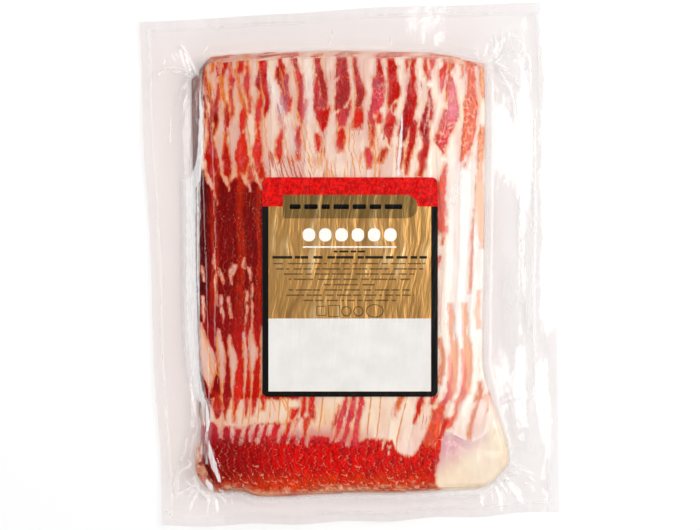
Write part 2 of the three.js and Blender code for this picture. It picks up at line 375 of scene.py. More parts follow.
# lean shapes: tone, then stations (v, left, right)
LEAN = [
    # ---- top band, from the left
    ("obrown", [(70, 199, 204), (74, 198.5, 207), (80, 200.5, 204), (84, 202, 203)]),
    ("obrown", [(78, 203.5, 206.5), (84, 205, 209), (92, 206.5, 211.5), (99, 208, 212), (104, 210, 213), (109, 212.5, 214.5)]),
    ("maroon", [(96, 203.5, 206), (104, 203.3, 206.2), (110, 204.5, 207.3), (117, 205.5, 206.5)]),
    ("orange", [(65, 212, 214), (68, 211, 216), (71.5, 211.5, 214)]),
    ("deep", [(98, 216, 217.8), (106, 214.5, 218.4), (113, 214, 219.2), (121, 213.8, 219), (127, 214, 217.5), (134, 213.6, 215.6)]),
    ("deep", [(108, 211.6, 213), (116, 209.8, 213.4), (125, 209.3, 212.6), (138, 209.2, 212.4), (146, 208, 213)]),
    ("blood", [(138, 210.5, 213), (146, 208, 215), (151, 206, 216.6), (155, 204.4, 217.4), (160, 205.4, 218.4), (165, 207.3, 220), (170, 207.4, 219.4), (174, 207.6, 214), (179, 212.4, 214)]),
    ("ocol", [(160, 212, 219), (166, 214, 220), (170, 216, 220), (176, 217.6, 221)]),
    ("rose", [(70, 217.2, 218.8), (77, 218, 220)]),
    ("orange", [(75, 220.6, 222), (84, 221.2, 223), (92, 222, 224), (99, 222.8, 225)]),
    ("rose", [(86, 219, 220.5), (92, 217.4, 221), (98, 217.6, 220), (104, 217.8, 219)]),
    ("red", [(64.5, 226, 228.6), (67, 223.4, 229), (71, 222, 227), (75, 221.8, 224)]),
    ("rose", [(70, 230, 231.2), (77, 230.8, 233), (82, 229.6, 236), (86, 230.6, 233)]),
    ("rose", [(88, 232, 234), (94, 229.8, 233.6), (100, 231, 233.6), (108, 232.4, 234.4), (114, 232.6, 234)]),
    ("orange", [(74, 236.4, 237.6), (82, 236.8, 238.6), (91, 238.2, 240), (99, 240.6, 242.8), (107, 243, 244.4)]),
    ("red", [(63, 241.6, 244.6), (66, 239.6, 245), (70, 237.6, 244), (74, 237, 241)]),
    ("rose", [(68, 246.2, 248), (76, 246.6, 249.2), (84, 244.2, 250), (90, 245.4, 249.6), (96, 246.6, 249), (101, 249, 250.6), (106, 249.4, 252), (112, 248.8, 251)]),
    ("blood", [(104, 226.8, 229.6), (110, 226.4, 229.6), (116, 227, 230.8), (121, 226.4, 231), (126, 225.6, 229.6), (132, 225.6, 227.6), (140, 226, 227.2), (146, 224.6, 228), (153, 223, 229), (159, 222, 231), (165, 224.4, 232.4), (171, 225, 232), (176, 223.4, 230.4), (180, 228.6, 230)]),
    ("crimson", [(112, 225.4, 227), (120, 224.6, 227.4), (130, 225.4, 227)]),
    ("bright", [(106, 243.4, 245.4), (112, 241, 246.2), (118, 239.4, 246.6), (125, 239.2, 245.6), (131, 239.6, 244.4), (133.5, 240.4, 242)]),
    ("flame", [(136, 241, 245.6), (141, 239.4, 246.8), (148, 237.8, 247.6), (155, 236, 248.6), (161, 235.4, 249.4), (166, 237.8, 248.4), (172, 238.2, 246.6), (177, 237.6, 243)]),
    ("ocol", [(168, 250, 252), (173, 249.2, 252.4), (179, 247.6, 254.5)]),
    ("crimson", [(73, 259, 260.6), (79, 256.8, 261), (85, 255.4, 261), (90, 258, 261)]),
    ("red", [(60, 259.4, 264.6), (66, 260.4, 267.6), (74, 261, 267.4), (82, 261.6, 267.6), (90, 263, 268.4), (97, 265, 270), (104, 265.6, 270.6), (110, 264.6, 269.8), (117, 264, 266)]),
    ("bright", [(96, 260.6, 263), (102, 257.8, 263.6), (108, 256, 262.4), (115, 255.8, 261.6), (122, 256, 259.6), (127, 256.6, 259.4)]),
    ("bright", [(131, 257.6, 259.6), (138, 257, 260), (144, 255, 261.6), (150, 253.6, 262.4), (156, 253.4, 263), (162, 255.6, 261.6), (170, 256, 259.8), (176, 257, 259)]),
    ("ocol", [(164, 261, 263), (170, 259.4, 264.4), (178, 258.4, 266)]),
    ("red", [(59, 278.6, 281.6), (64, 279, 283.6), (70, 280, 286.4), (76, 280.6, 285.4), (82, 282, 284)]),
    ("crimson", [(69, 277.6, 280), (76, 276.4, 280.6), (82, 277.6, 281.4), (88, 280.8, 282)]),
    ("mauve", [(76, 284, 288), (84, 283, 289), (92, 282, 289.4), (98, 280.6, 290), (104, 280.4, 290.4), (109, 284, 289.6), (114, 284.6, 287)]),
    ("crimson", [(104, 277.6, 279), (109, 277.4, 282), (114, 278.4, 283), (118, 279.4, 282)]),
    ("bright", [(101, 289.4, 291.6), (106, 288, 292), (112, 287.6, 290.4)]),
    ("orange", [(115, 281, 283), (119, 280, 285.6), (123, 280.4, 284)]),
    ("crimson", [(59, 291.6, 295.4), (64, 292.4, 296), (68, 294.6, 298.6), (70.5, 296, 299)]),
    ("red", [(71, 295.4, 297), (75, 296, 301), (80, 296.6, 303)]),
    ("rose", [(78, 296.6, 302.6), (84, 297.4, 304), (91, 299, 304.6), (98, 298.6, 304), (104, 297.4, 304.6), (110, 297.4, 307), (116, 298.6, 305.4), (122, 300.4, 302.6)]),
    ("bright", [(101, 305.6, 308.4), (106, 304.6, 308.4), (112, 303.6, 306.6), (117, 302.4, 304.4)]),
    ("dusk", [(59, 313, 319.4), (66, 315.6, 320.6), (73, 316.6, 323.4), (79, 318, 325.6), (86, 319.6, 326.8), (94, 320.4, 327.4), (101, 319.4, 327), (108, 315.6, 326.4)]),
    ("rose", [(78, 316, 318.6), (86, 314.6, 320), (96, 314.2, 320), (104, 313.8, 319.6), (109, 314, 317)]),
    ("red", [(110, 315.2, 330), (116, 316.2, 329.6), (121, 318, 328), (127, 320, 326), (131, 322, 324.6)]),
    ("dusk", [(59, 338.4, 346), (66, 337.4, 347), (72, 336.6, 348), (76.5, 335.4, 349.6)]),
    ("dusk", [(78.5, 339, 349.6), (84, 336.6, 350), (90, 336.8, 350), (97, 335.4, 349.6), (104, 335.4, 347), (109, 335.2, 343)]),
    ("rose", [(103, 349, 351.4), (109, 347, 351), (114, 335.6, 350.4), (119, 337, 347.4), (126, 338.6, 345)]),
    ("dusk", [(62, 352.6, 355.6), (68, 353.4, 357.8), (75, 354.2, 358.4), (82, 355, 361.4), (90, 355.6, 364.4), (97, 355.6, 365), (103, 355.4, 363.4), (107, 355.6, 361)]),
    ("bright", [(109, 355, 362), (114, 354.4, 363.2), (120, 353, 363), (127, 352, 361.6)]),
    ("red", [(62, 376.6, 380), (68, 376.4, 382.6), (74, 376.2, 383.4), (80, 375.4, 384), (84, 378, 384)]),
    ("mauve", [(80, 373, 379), (86, 372, 384.6), (91, 373.4, 385)]),
    ("hotpink", [(90, 373, 385), (97, 372.4, 383.6), (103, 371, 383), (109, 369.4, 381), (113, 368.6, 376)]),
    ("bright", [(111, 377.4, 379), (116, 376.4, 381.6), (122, 376, 382)]),
    ("hotpink", [(113, 368.6, 373), (118, 368, 372.4), (124, 367.6, 375)]),
    ("red", [(61, 386.6, 390), (66, 387, 397.4), (74, 387.2, 396.4), (82, 387.4, 397), (88, 387.6, 399.4), (94, 387.8, 400), (99, 388, 398.4), (103, 388, 391.6), (110, 387.6, 389.6)]),
    ("bright", [(104.5, 392.4, 396.4), (109, 391.4, 395), (113, 391, 393.4)]),
    ("bright", [(113, 388, 390.4), (118, 386, 396), (124, 384.6, 396)]),
    ("bright", [(61, 405.4, 407.8), (67, 405.2, 407.6), (71, 405.6, 406.6)]),
    ("red", [(61, 411.4, 416), (67, 410.4, 414.8), (75, 410.2, 414.8), (82, 410.6, 415.4), (88, 409.4, 415), (94, 408, 416.4), (100, 407, 417.4), (106, 405.4, 416), (112, 402.6, 414.4), (118, 401, 412.8), (126, 400.6, 412.6)]),
    ("crimson", [(80, 409, 410.6), (88, 407.6, 411), (98, 406.6, 411.4), (106, 404.6, 411), (114, 401.6, 409.6), (122, 400.6, 406.6)]),
    ("ored", [(63, 423.6, 426.6), (69, 423, 427.4), (74, 425, 428)]),
    ("bright", [(62.5, 430, 434.4), (66, 429.4, 434.6), (69, 430.4, 432)]),
    ("rose", [(72, 426, 430), (77, 427, 430.6), (80, 427.6, 429.6)]),
    ("crimson", [(91, 428.6, 430), (98, 428.4, 431.4), (105, 428.6, 433.2), (112, 428.8, 432), (119, 429, 430.6)]),
    ("crimson", [(105, 426.4, 428), (111, 424.4, 428.2), (117, 422.4, 427.6), (124, 422, 427.6)]),
    ("flame", [(64.5, 444.4, 447.6), (68, 441.4, 447.8), (72, 438.6, 445.4), (78, 438.6, 445.8), (84, 439.8, 444.6), (91, 439.8, 441.8)]),
    ("bright", [(64, 450.4, 453), (67, 450, 454), (70, 450.6, 453)]),
    ("ored", [(68, 448, 449.6), (78, 446.6, 449.4), (88, 446.2, 448.4), (98, 445.8, 448)]),
    ("bright", [(77.5, 449, 451.4), (83, 448.6, 454), (89, 448.2, 455)]),
    ("rose", [(88, 448.2, 455), (94, 448, 455.6), (100, 447.6, 456.4)]),
    ("pink", [(99, 447.6, 456.4), (105, 447.2, 457.6), (111, 446.6, 458), (117, 446, 457.4)]),
    ("hotpink", [(112, 443.6, 447.6), (117, 441.6, 457), (123, 440, 455.8), (129, 438.8, 453.6), (134, 436.6, 450.6), (139, 434, 448.4), (144, 434.4, 447.2), (148, 438, 446.4), (153, 441.6, 444.6)]),
    ("flame", [(64, 464.6, 472), (69, 464.8, 473.4), (76, 466.6, 473.6), (84, 467.4, 474), (92, 467, 475), (99, 465.4, 476.4)]),
    ("ored", [(98, 465.2, 476.4), (105, 464, 476.8), (112, 463.6, 476.6), (120, 463.2, 475.8), (128, 462.6, 475), (136, 461.8, 474), (142, 461.4, 472.6), (149, 460.8, 470.6), (156, 459.6, 468.4), (160, 460, 462)]),
    ("salmon", [(154, 468, 470), (160, 466, 468), (166, 462, 465)]),
    ("peach", [(69, 460, 461.4), (76, 461.4, 463)]),
    ("peach", [(65, 477.4, 481.6), (70, 478, 482.6), (78, 478.8, 484), (86, 480, 484.6), (93, 480.4, 484.4), (98, 482.6, 484.4)]),
    ("peach", [(129, 480, 484.6), (134, 478.6, 484), (138, 478, 483.4), (144, 477.2, 483), (148, 479, 483.2), (152, 478, 482.4), (160, 477, 482), (168, 477.6, 481), (176, 476.4, 481.4), (190, 476.2, 482), (204, 476.4, 482.4), (218, 477, 482.4), (232, 477.4, 482.4), (240, 479.6, 483), (245, 481, 482.4)]),
    # lower ends of the middle streaks, some of them under the label
    ("bright", [(129, 340, 343), (134, 337.4, 345), (140, 336.6, 345), (146, 336.8, 344), (150, 338, 342)]),
    ("rose", [(127, 368.6, 374), (134, 369, 374.6), (140, 370, 374), (146, 371, 373)]),
    ("hotpink", [(150.6, 366.6, 370), (155, 365.4, 371.6), (161, 366, 372.4), (166, 367.6, 371)]),
    ("red", [(124, 384, 394), (130, 383.6, 393), (136, 385, 391.4), (143, 387, 390)]),
    ("ocol", [(151, 381, 387), (155, 379.4, 385.4), (161, 377, 382)]),
    ("crimson", [(124, 400, 409.6), (130, 398.2, 408.6), (136, 398, 406.4), (142, 399.6, 403.6)]),
    ("rose", [(150, 398, 402.4), (156, 396.8, 403), (162, 397.4, 402), (167, 398.6, 400.4)]),
    ("red", [(122, 410, 415.6), (130, 410, 417), (137, 409, 415), (145, 407.8, 414), (153, 406.4, 411.6), (160, 405, 409.4), (168, 405.4, 407.8), (173, 405, 406.6)]),
    ("crimson", [(124, 419.4, 428), (129, 418.8, 427.6), (133, 421, 428.6), (140, 422.4, 428.8), (147, 424, 428.4)]),
    ("red", [(144, 424, 428.6), (150, 421.4, 428), (155, 417.8, 427), (161, 419, 425.4), (168, 419.6, 424.2), (176, 416.6, 421)]),
    ("bright", [(128, 282, 286), (138, 277.4, 282.4), (148, 276.4, 282), (156, 277, 281.6), (162, 278.6, 281)]),
    ("rose", [(128, 297, 301), (138, 295, 300.6), (148, 296, 300), (158, 297.6, 299.4)]),
    ("bright", [(136, 316.6, 322), (142, 315.6, 322.4), (147, 316, 321.6), (151, 317, 320)]),
    # ---- right strip, beside the label
    ("ored", [(166, 444.4, 445.8), (171, 443, 446), (176, 441.6, 445.8), (181, 439.8, 446), (186, 438, 445.4), (192, 437, 445.2), (199, 437, 443.6), (204, 437, 445), (212, 437, 445), (222, 437, 444.6), (229, 437, 446.4), (231.5, 439, 446)]),
    ("ored", [(237, 443, 444), (242, 441, 443.2)]),
    ("ored", [(258.5, 437, 440), (261, 437.4, 439.6), (265, 438, 439)]),
    ("salmon", [(212, 474.4, 475.6), (220, 473, 474.6), (226, 472.4, 473.6), (240, 471.2, 472), (270, 470.6, 471.4), (290, 469.6, 470.4)]),
    ("peach", [(340, 437, 439.6), (352, 441, 443.6), (365, 441, 443.8), (374, 438, 442.4), (382, 437, 440.6)]),
    ("peach", [(306, 449, 451), (318, 450.6, 453), (330, 449.6, 452), (345, 450.6, 456), (358, 450, 457.2), (366, 453, 456.8), (378, 452, 456), (390, 452, 455)]),
    ("salmon", [(354, 448, 450.6), (366, 448, 452.6), (378, 448.6, 453.6), (386, 447.8, 453.4), (394, 446.6, 451.6), (399, 444.6, 450)]),
    ("peach", [(306, 463, 465), (318, 464, 467), (330, 463, 465.6), (345, 464.4, 469.6), (358, 464, 470.8), (366, 466, 470.2), (378, 465.4, 469.6), (390, 465, 469)]),
    ("salmon", [(352, 461.6, 464), (364, 461.6, 466), (376, 462, 466.8), (386, 461.4, 466.6), (394, 460, 466), (398, 458, 463.6), (402, 457, 459.4)]),
    ("hotpink", [(384, 447.6, 452), (392, 446.4, 451.6), (398, 444, 449.4), (402, 440, 446)]),
    ("hotpink", [(386, 461.6, 466), (392, 460, 466), (397, 458, 463)]),
    ("peach", [(294, 478, 479), (314, 475, 477), (318, 477, 478.6), (326, 478, 480)]),
    ("orange", [(384.5, 478, 480.6), (388.5, 478.2, 482), (391, 478.6, 481.6), (395, 478.4, 483), (397.4, 479, 482)]),
    ("orange", [(396.4, 475, 478), (398, 474.4, 479)]),
    ("orange", [(397, 477.4, 478.6), (403, 475.6, 477), (408, 475, 476.6), (411, 472.6, 474.8), (417, 471.6, 474.4), (421, 470.8, 473.2), (424, 469, 472), (429, 468, 471.4), (434, 467, 470.6), (437.5, 467.6, 469)]),
    ("peach", [(403, 488.6, 490), (407, 487.4, 491), (412, 487, 491), (417, 487, 489.6), (420, 486.6, 488)]),
    # ---- below the label, left part: tapering tongues
    ("crimson", [(325, 206, 215.5), (333, 207.6, 216.2), (341, 211, 216.6), (347, 213.6, 216.6), (351, 215.4, 216.4)]),
    ("crimson", [(352, 226.4, 228), (358, 226.6, 228.4), (363, 226.4, 229.6), (370, 225.6, 230.4), (378, 224.6, 231.4), (388, 223.6, 232), (396, 223.4, 231.4), (404, 224, 229), (411, 224.8, 227), (418, 225.2, 226.2)]),
    ("bright", [(356, 239.4, 243), (362, 238.6, 243.4), (370, 237, 243.4), (378, 235.6, 243.4), (388, 234.4, 243.6), (396, 233.6, 241.4), (404, 234, 238.6), (412, 234.2, 236.6), (419, 234.4, 235.4)]),
    ("red", [(360, 248, 249.4), (370, 247.6, 250), (380, 246.6, 251), (388, 245.4, 250.6), (396, 244.4, 250.2), (404, 245, 248.6), (410, 245.4, 247.4), (415, 245.8, 246.6)]),
    ("red", [(358, 257.4, 260.6), (366, 255.4, 260.6), (376, 254.4, 260.6), (386, 252.6, 260.6), (394, 251.4, 259.6), (400, 251.8, 257.6), (406, 252.4, 255.6), (412, 253, 254.4)]),
    ("bright", [(394, 261, 266.6), (399, 261.4, 265.6), (404, 262, 264.6), (408, 262.4, 263.6)]),
    ("deep", [(374, 200.4, 202), (380, 201.6, 204.6), (386, 203, 206.8), (392, 204.6, 209), (398, 207, 211.4), (403, 209, 213)]),
    ("ocol", [(392, 214.6, 222.4), (400, 213.6, 222.6), (408, 213.4, 222.6), (414, 214.4, 221.4), (417, 216, 219)]),
    ("bright", [(395, 302.6, 306), (401, 302.2, 306.2), (408, 301.6, 306.4), (413, 300.8, 305.6), (416, 301, 303)]),
    ("bright", [(395, 309.6, 314.6), (401, 309.2, 314), (408, 308.8, 314), (413, 308.4, 315), (417, 310, 314)]),
    ("bright", [(410, 291.4, 299), (414, 290.6, 297.4), (418, 290.6, 293.4)]),
    ("bright", [(422, 287.6, 294.6), (426, 286.6, 293.4), (430, 286.2, 290)]),
    ("bright", [(418, 304.6, 309.4), (424, 304, 309.8), (430, 304.6, 309.6), (436, 304, 307)]),
    ("ored", [(420, 296.4, 299.6), (426, 296.2, 300), (429, 297, 298.6)]),
    ("hotpink", [(395, 345.6, 348.6), (401, 343.4, 347.6), (408, 341.4, 346.4), (415, 339, 344.6), (422, 337.4, 343), (430, 336, 341), (437, 335, 338.4), (441, 334.8, 336)]),
    ("hotpink", [(395, 352.4, 356.6), (401, 350.8, 355.4), (408, 349.4, 354.6), (415, 347.6, 353), (422, 345.6, 351.4), (430, 344.4, 349.4), (438, 341.8, 346.6), (444, 340, 344)]),
    ("hotpink", [(395, 360.4, 364), (401, 359, 364.4), (408, 357.4, 363), (415, 355, 360.6), (422, 353.6, 359.4), (430, 353, 358.6), (438, 353, 358.6), (444, 351, 358)]),
    ("rose", [(406, 338.6, 340), (412, 336.8, 338.6), (420, 334.4, 336.4), (428, 333, 334.4)]),
    ("orange", [(395.5, 398.6, 402.6), (400, 397.4, 401.6), (404, 396.4, 399.6), (409, 395.8, 397.2)]),
    ("orange", [(410, 394.4, 395.6), (414, 393.8, 394.8)]),
    ("bright", [(395, 420.4, 425), (400, 418.6, 423.6), (405, 417, 422.4), (410, 415.6, 419.4), (416, 414.2, 416.6), (420, 413.6, 414.8)]),
    ("bright", [(395.5, 431.6, 437), (399, 430.6, 435.6), (402, 430, 433)]),
    ("ored", [(404, 438, 443.4), (408, 436, 443), (410.4, 435, 442.6)]),
    ("ored", [(411, 432, 442), (417, 431.6, 442), (420, 433, 441)]),
    ("ored", [(418, 432, 440.6), (424, 429, 440), (430, 427.4, 438), (436, 425, 437), (442, 423, 436), (446, 423, 434)]),
    ("hotpink", [(398, 444, 446.4), (402, 442.6, 444.6), (408, 441.8, 443.6)]),
    ("ored", [(402, 455.4, 457), (410, 454, 456.6), (416, 451, 455.2), (421, 447, 453.6), (425, 443, 451.6)]),
    ("bright", [(420, 443, 451), (424, 441.4, 448), (429, 440.6, 443.6), (436, 438, 442), (442, 436.6, 441), (448, 434.4, 439.6), (452, 433.8, 438)]),
    ("peach", [(396, 486, 488.4), (410, 489.6, 491)]),
    ("rose", [(393, 421, 424), (396, 431, 436)]),
]

# fat shapes inside the lean fields
FAT = [
    ([(172, 204.5, 207), (178, 205.6, 211.6), (184, 208, 213.6), (189, 212, 214.6)]),
    ([(172, 221.6, 224), (178, 222.6, 228.6), (184, 226, 230.6), (189, 229, 231)]),
    ([(174, 240.6, 244), (180, 242.4, 248.4), (186, 246.6, 251), (191, 250, 251.6)]),
    ([(170, 252.6, 256), (177, 254, 259.6), (184, 257.6, 262.4), (190, 261, 263)]),
    ([(186, 213.4, 215.2), (196, 215.6, 217), (204, 217.4, 218.6)]),
    ([(268, 201.6, 203.6), (273, 202.4, 205.4), (279, 203.6, 206)]),
    ([(256, 214.4, 216.2), (262, 213, 216.4), (268, 214.6, 216.8)]),
    ([(268, 218.6, 220), (273, 219.4, 223.2), (279, 221.4, 224.8), (284, 223.4, 225)]),
    ([(266, 232.6, 238.4), (271, 228, 236.6), (277, 229.6, 234), (283, 231.4, 233.4)]),
    ([(259, 243.6, 245.6), (264, 241.4, 246), (268, 242.8, 245.4)]),
    ([(268, 247, 252.4), (274, 249, 252.6), (279, 250.4, 252)]),
    ([(272, 216.2, 217.8), (282, 214.6, 217.6), (290, 215.2, 218), (300, 216.6, 218.6), (306, 217.4, 218.4)]),
    ([(297, 201.6, 204.6), (303, 202.4, 205.8), (308, 202, 206), (315, 203.4, 206), (322, 204.4, 205.4)]),
    ([(296.5, 220, 223), (300, 220, 224), (304, 221, 223.4)]),
    ([(306.5, 220, 223.4), (311, 221, 225), (316, 222.8, 225), (320, 223.6, 224.4)]),
    ([(297, 227.4, 231), (301, 227.6, 231.8), (305, 229, 231.2)]),
    ([(308.5, 228.4, 231), (312, 229, 232.6), (316, 231.4, 233.4)]),
    ([(291.5, 245.6, 249), (295, 245.6, 249.4), (299, 246, 248.4)]),
    ([(285, 251, 253.4), (290, 251.4, 254), (296, 251, 253)]),
    ([(299, 250.8, 252.6), (304, 250.6, 254.6), (309, 251, 253.2), (316, 251.4, 253.4), (324, 251.6, 253.6), (331, 251, 254)]),
    ([(304, 246, 249), (308, 246.2, 248.6), (316, 245.4, 247.4), (324, 244.6, 246.4)]),
    # lens shapes
    ([(323, 199.4, 203), (330, 199.4, 205.6), (338, 199.4, 208), (346, 199.6, 211.6), (355, 200, 216.4), (363, 200.6, 217.4), (371, 202.4, 217.6), (379, 205, 215), (386, 208.6, 213), (391, 210.6, 212)]),
    ([(330, 217.6, 220.6), (336, 217, 221.8), (343, 216.8, 223), (350, 217.2, 225.4), (357, 217.8, 227), (364, 218.8, 226.4), (372, 219.8, 225.4), (380, 220.8, 224.6), (388, 221.6, 224), (396, 222, 223.4)]),
    ([(335, 228.8, 230.4), (340, 227.6, 232.2), (347, 228, 234), (353, 228.8, 237), (359, 229.4, 238.8), (365, 230, 237.6), (371, 231, 236), (379, 231.4, 235.4), (387, 231.8, 234.6), (396, 232, 233.8)]),
    ([(329, 244.4, 246.2), (335, 243.2, 246.8), (343, 242.6, 247.4), (352, 243, 248.4), (361, 243.6, 248.6), (371, 244, 248), (381, 243.8, 246.8), (390, 243.8, 245.6)]),
    ([(331, 250, 252.8), (337, 249, 254.8), (344, 248.6, 257), (351, 249, 258.8), (357, 249.8, 258.2), (364, 250.4, 255.6), (373, 250.8, 254.6), (383, 251, 253.6), (392, 251.4, 252.6)]),
    ([(326, 261.4, 263), (335, 260.6, 266), (352, 260.4, 268), (372, 260.6, 267), (388, 260.6, 264), (395, 260.8, 262)]),
    # tongues at the head of the lower muscle
    ([(421, 217.6, 224), (427, 218.2, 224), (432, 218.6, 223.4), (436, 219.6, 222.6)]),
    ([(421, 229, 234), (428, 230.6, 235.8), (434, 231, 236), (440, 231.6, 233.4)]),
    ([(424, 244, 248), (429, 242.4, 246.6), (434, 240, 245.4), (440, 239.6, 244), (444, 239, 242)]),
    ([(424, 251.4, 257), (430, 249.6, 254), (435, 248.6, 253.6), (440, 248.6, 252.4)]),
    ([(424, 260.6, 266), (430, 258.6, 264), (435, 257, 261.4), (441, 255.8, 259.6)]),
    ([(424, 268.6, 274), (429, 267.6, 272.6), (434, 267.2, 270.6)]),
    ([(424, 281, 286.6), (430, 279, 285.6), (436, 277.4, 282.4), (441, 276, 279)]),
    ([(422, 291.6, 297), (429, 289.4, 295), (435, 288.6, 292.6), (442, 287, 290)]),
    ([(418, 298, 303.6), (425, 294.6, 303), (432, 293.4, 303.4), (438, 296, 301), (443, 296.6, 299)]),
    ([(424, 310, 314), (431, 306.4, 313), (438, 305.6, 310.4), (444, 305.4, 308)]),
    ([(396, 349, 352), (404, 347.6, 350.4), (414, 345, 348), (424, 342.6, 345), (434, 338.4, 342.4), (441, 334.6, 340)]),
    ([(396, 357, 360.4), (406, 355, 357.6), (416, 353, 355), (428, 350.4, 353.4), (438, 347, 351.4), (445, 345, 349.4)]),
    ([(425, 333, 336), (434, 330.6, 335), (441, 329.4, 332.6)]),
    ([(437, 383.4, 388), (442, 381.6, 385.4), (447, 381, 383)]),
    ([(446, 387, 390.4), (449, 386.6, 390), (452, 387.6, 389)]),
]

# orange rind line along a slice's left edge: slice, from v, to v, strength
RIND = [
    (1, 78, 110, 0.9), (1, 122, 152, 0.6), (2, 74, 104, 0.9), (2, 128, 150, 0.8), (3, 74, 110, 0.9), (3, 122, 160, 0.7),
    (4, 60, 72, 0.6), (4, 84, 106, 0.8), (4, 120, 140, 0.8), (6, 70, 98, 0.9), (7, 70, 98, 0.9), (12, 60, 128, 0.7),
    (15, 60, 126, 0.6), (20, 64, 124, 0.8), (9, 60, 84, 0.5), (17, 60, 90, 0.4), (19, 64, 92, 0.4),
    (1, 196, 300, 0.35), (3, 190, 300, 0.35), (1, 332, 402, 0.8), (2, 336, 420, 0.8), (3, 336, 424, 0.8), (4, 334, 424, 0.8),
    (5, 330, 424, 0.8), (6, 394, 424, 0.8), (7, 394, 424, 0.9), (8, 394, 434, 0.9), (9, 394, 412, 0.5), (11, 394, 432, 0.8),
    (10, 418, 436, 0.5), (15, 394, 436, 1.0), (16, 394, 436, 1.0), (18, 394, 450, 1.0), (14, 396, 436, 0.3),
    (22, 130, 170, 0.5), (20, 340, 392, 0.3), (21, 344, 396, 0.3), (22, 344, 396, 0.3),
]


def station_curves(stations):
    v = np.array([s[0] for s in stations], dtype=float)
    l = np.array([s[1] for s in stations], dtype=float)
    r = np.array([s[2] for s in stations], dtype=float)
    vv = np.arange(v[0] - 6, v[-1] + 6.01, 0.5)
    ll = gauss_smooth(np.interp(vv, v, l), 3.0)
    rr = gauss_smooth(np.interp(vv, v, r), 3.0)
    return vv, ll, rr, v[0], v[-1]


def inside_shape(U, V, stations):
    """About how far inside the shape a point is, in grid units."""
    vv, ll, rr, v0, v1 = station_curves(stations)
    left = np.interp(V, vv, ll)
    right = np.interp(V, vv, rr)
    d = np.minimum(U - left, right - U)
    ends = np.minimum(V - v0, v1 - V)
    half = (right - left) * 0.5
    round_end = (ends + 1.2) * 0.75
    return np.minimum(d, round_end) + 0.0 * half


def muscle_top(u):
    return np.interp(u, [196, 212, 222, 233, 243, 251, 262, 275, 286, 296, 306, 318, 330, 345, 359, 370, 382, 392, 396, 404, 412, 418, 422, 430, 440],
                     [424, 421, 425, 428, 428, 425, 424, 422, 424, 431, 436, 436, 437, 441, 440, 439, 439, 441, 450, 456, 455, 450, 441, 444, 447])


# bristles of lean that run down into the fat:
# u from, u to, v from, v to, slant in u over the stroke, spread, share of orange, strength
STRANDS = [
    (262, 284, 147, 181, 8, 4, 0.10, 1.0), (284, 299, 149, 181, 9, 3, 0.35, 1.0), (299, 314, 149, 181, 9, 4, 0.50, 0.9),
    (317, 334, 140, 181, 0, 8, 0.75, 1.0), (341, 352, 126, 181, 1, 4, 0.92, 0.85), (361, 371, 128, 181, -4, 3, 0.95, 0.75),
    (377, 386, 136, 181, -4, 2, 0.90, 0.8), (246, 262, 154, 184, 6, 4, 0.10, 0.8), (203, 214, 106, 142, -2, 3, 0.3, 0.6),
    (383, 397, 102, 142, -6, 3, 0.25, 0.7), (353, 367, 106, 138, -5, 3, 0.30, 0.7), (406, 419, 118, 152, -6, 3, 0.20, 0.6),
    (281, 300, 110, 134, 5, 3, 0.60, 0.7), (314, 327, 126, 146, 2, 3, 0.5, 0.5), (436, 448, 140, 156, -5, 3, 0.5, 0.4),
    (206, 220, 70, 106, 5, 5, 0.80, 0.45), (221, 235, 68, 106, 3, 6, 0.60, 0.42), (237, 251, 68, 108, 4, 5, 0.50, 0.40),
    (254, 271, 64, 102, 3, 4, 0.20, 0.35), (275, 293, 64, 114, 4, 4, 0.35, 0.35), (292, 307, 68, 114, 4, 4, 0.40, 0.35),
    (308, 330, 58, 96, 2, 4, 0.2, 0.5), (333, 352, 58, 84, 1, 4, 0.2, 0.4), (384, 402, 60, 84, 1, 4, 0.2, 0.5), (404, 420, 58, 90, 0, 4, 0.2, 0.6),
    (440, 456, 62, 96, 0, 4, 0.5, 0.5),
    (210, 224, 388, 424, -1, 3, 0.60, 0.7), (226, 262, 396, 424, -1, 3, 0.85, 0.20), (270, 300, 400, 434, 1, 4, 0.70, 0.32),
    (314, 332, 402, 438, -2, 6, 0.95, 0.38), (416, 440, 402, 438, -6, 4, 0.45, 0.5), (420, 438, 438, 466, -2, 4, 0.60, 0.6),
    (440, 458, 402, 434, -9, 4, 0.35, 0.5),
]


def strand_fields(U, V):
    """Place across the bristles, their strength and their share of orange."""
    where_ = np.zeros(U.shape)
    zone = np.zeros(U.shape)
    warm = np.zeros(U.shape)
    for n, (u0, u1, v0, v1, slant, spread, share, strength) in enumerate(STRANDS):
        idx = np.nonzero((U > u0 - 16) & (U < u1 + 16) & (V > v0 - 3) & (V < v1 + 3))[0]
        if len(idx) == 0:
            continue
        t = clip01((V[idx] - v0) / (v1 - v0)) ** 1.3
        wide = u1 - u0
        a = (U[idx] - slant * t + 0.8 * spread * t * (1 + 2 * u0 / wide)) / (1 + 1.6 * spread * t / wide)
        z = smooth(u0 - 1.5, u0 + 2.5, a) * smooth(u1 + 1.5, u1 - 2.5, a)
        z = z * smooth(v0 - 2, v0 + 0.35 * (v1 - v0), V[idx]) * smooth(v1 + 3, v1 - 3, V[idx]) * strength
        better = z > zone[idx]
        zone[idx] = np.where(better, z, zone[idx])
        where_[idx] = np.where(better, a + 31.7 * n, where_[idx])
        warm[idx] = np.where(better, share, warm[idx])
    return where_, zone, warm


def scale_phase(U, V):
    """Running number of the fine scales of the lower muscle."""
    sway = np.interp(V, [430, 436, 443, 452, 462, 470, 478, 485, 490, 496], [1.5, 1.0, 0.0, -2.0, -2.4, 0.6, 6.0, 14.0, 22.0, 30.0])
    a, b = 3.5, 0.01395
    W = U - sway + 1.2 * fbm(U / 12.0, V / 6.0, 95, 2) + 1.5 * fbm(U / 5.0, V / 3.4, 99, 2)
    return np.log(a + b * W) / b


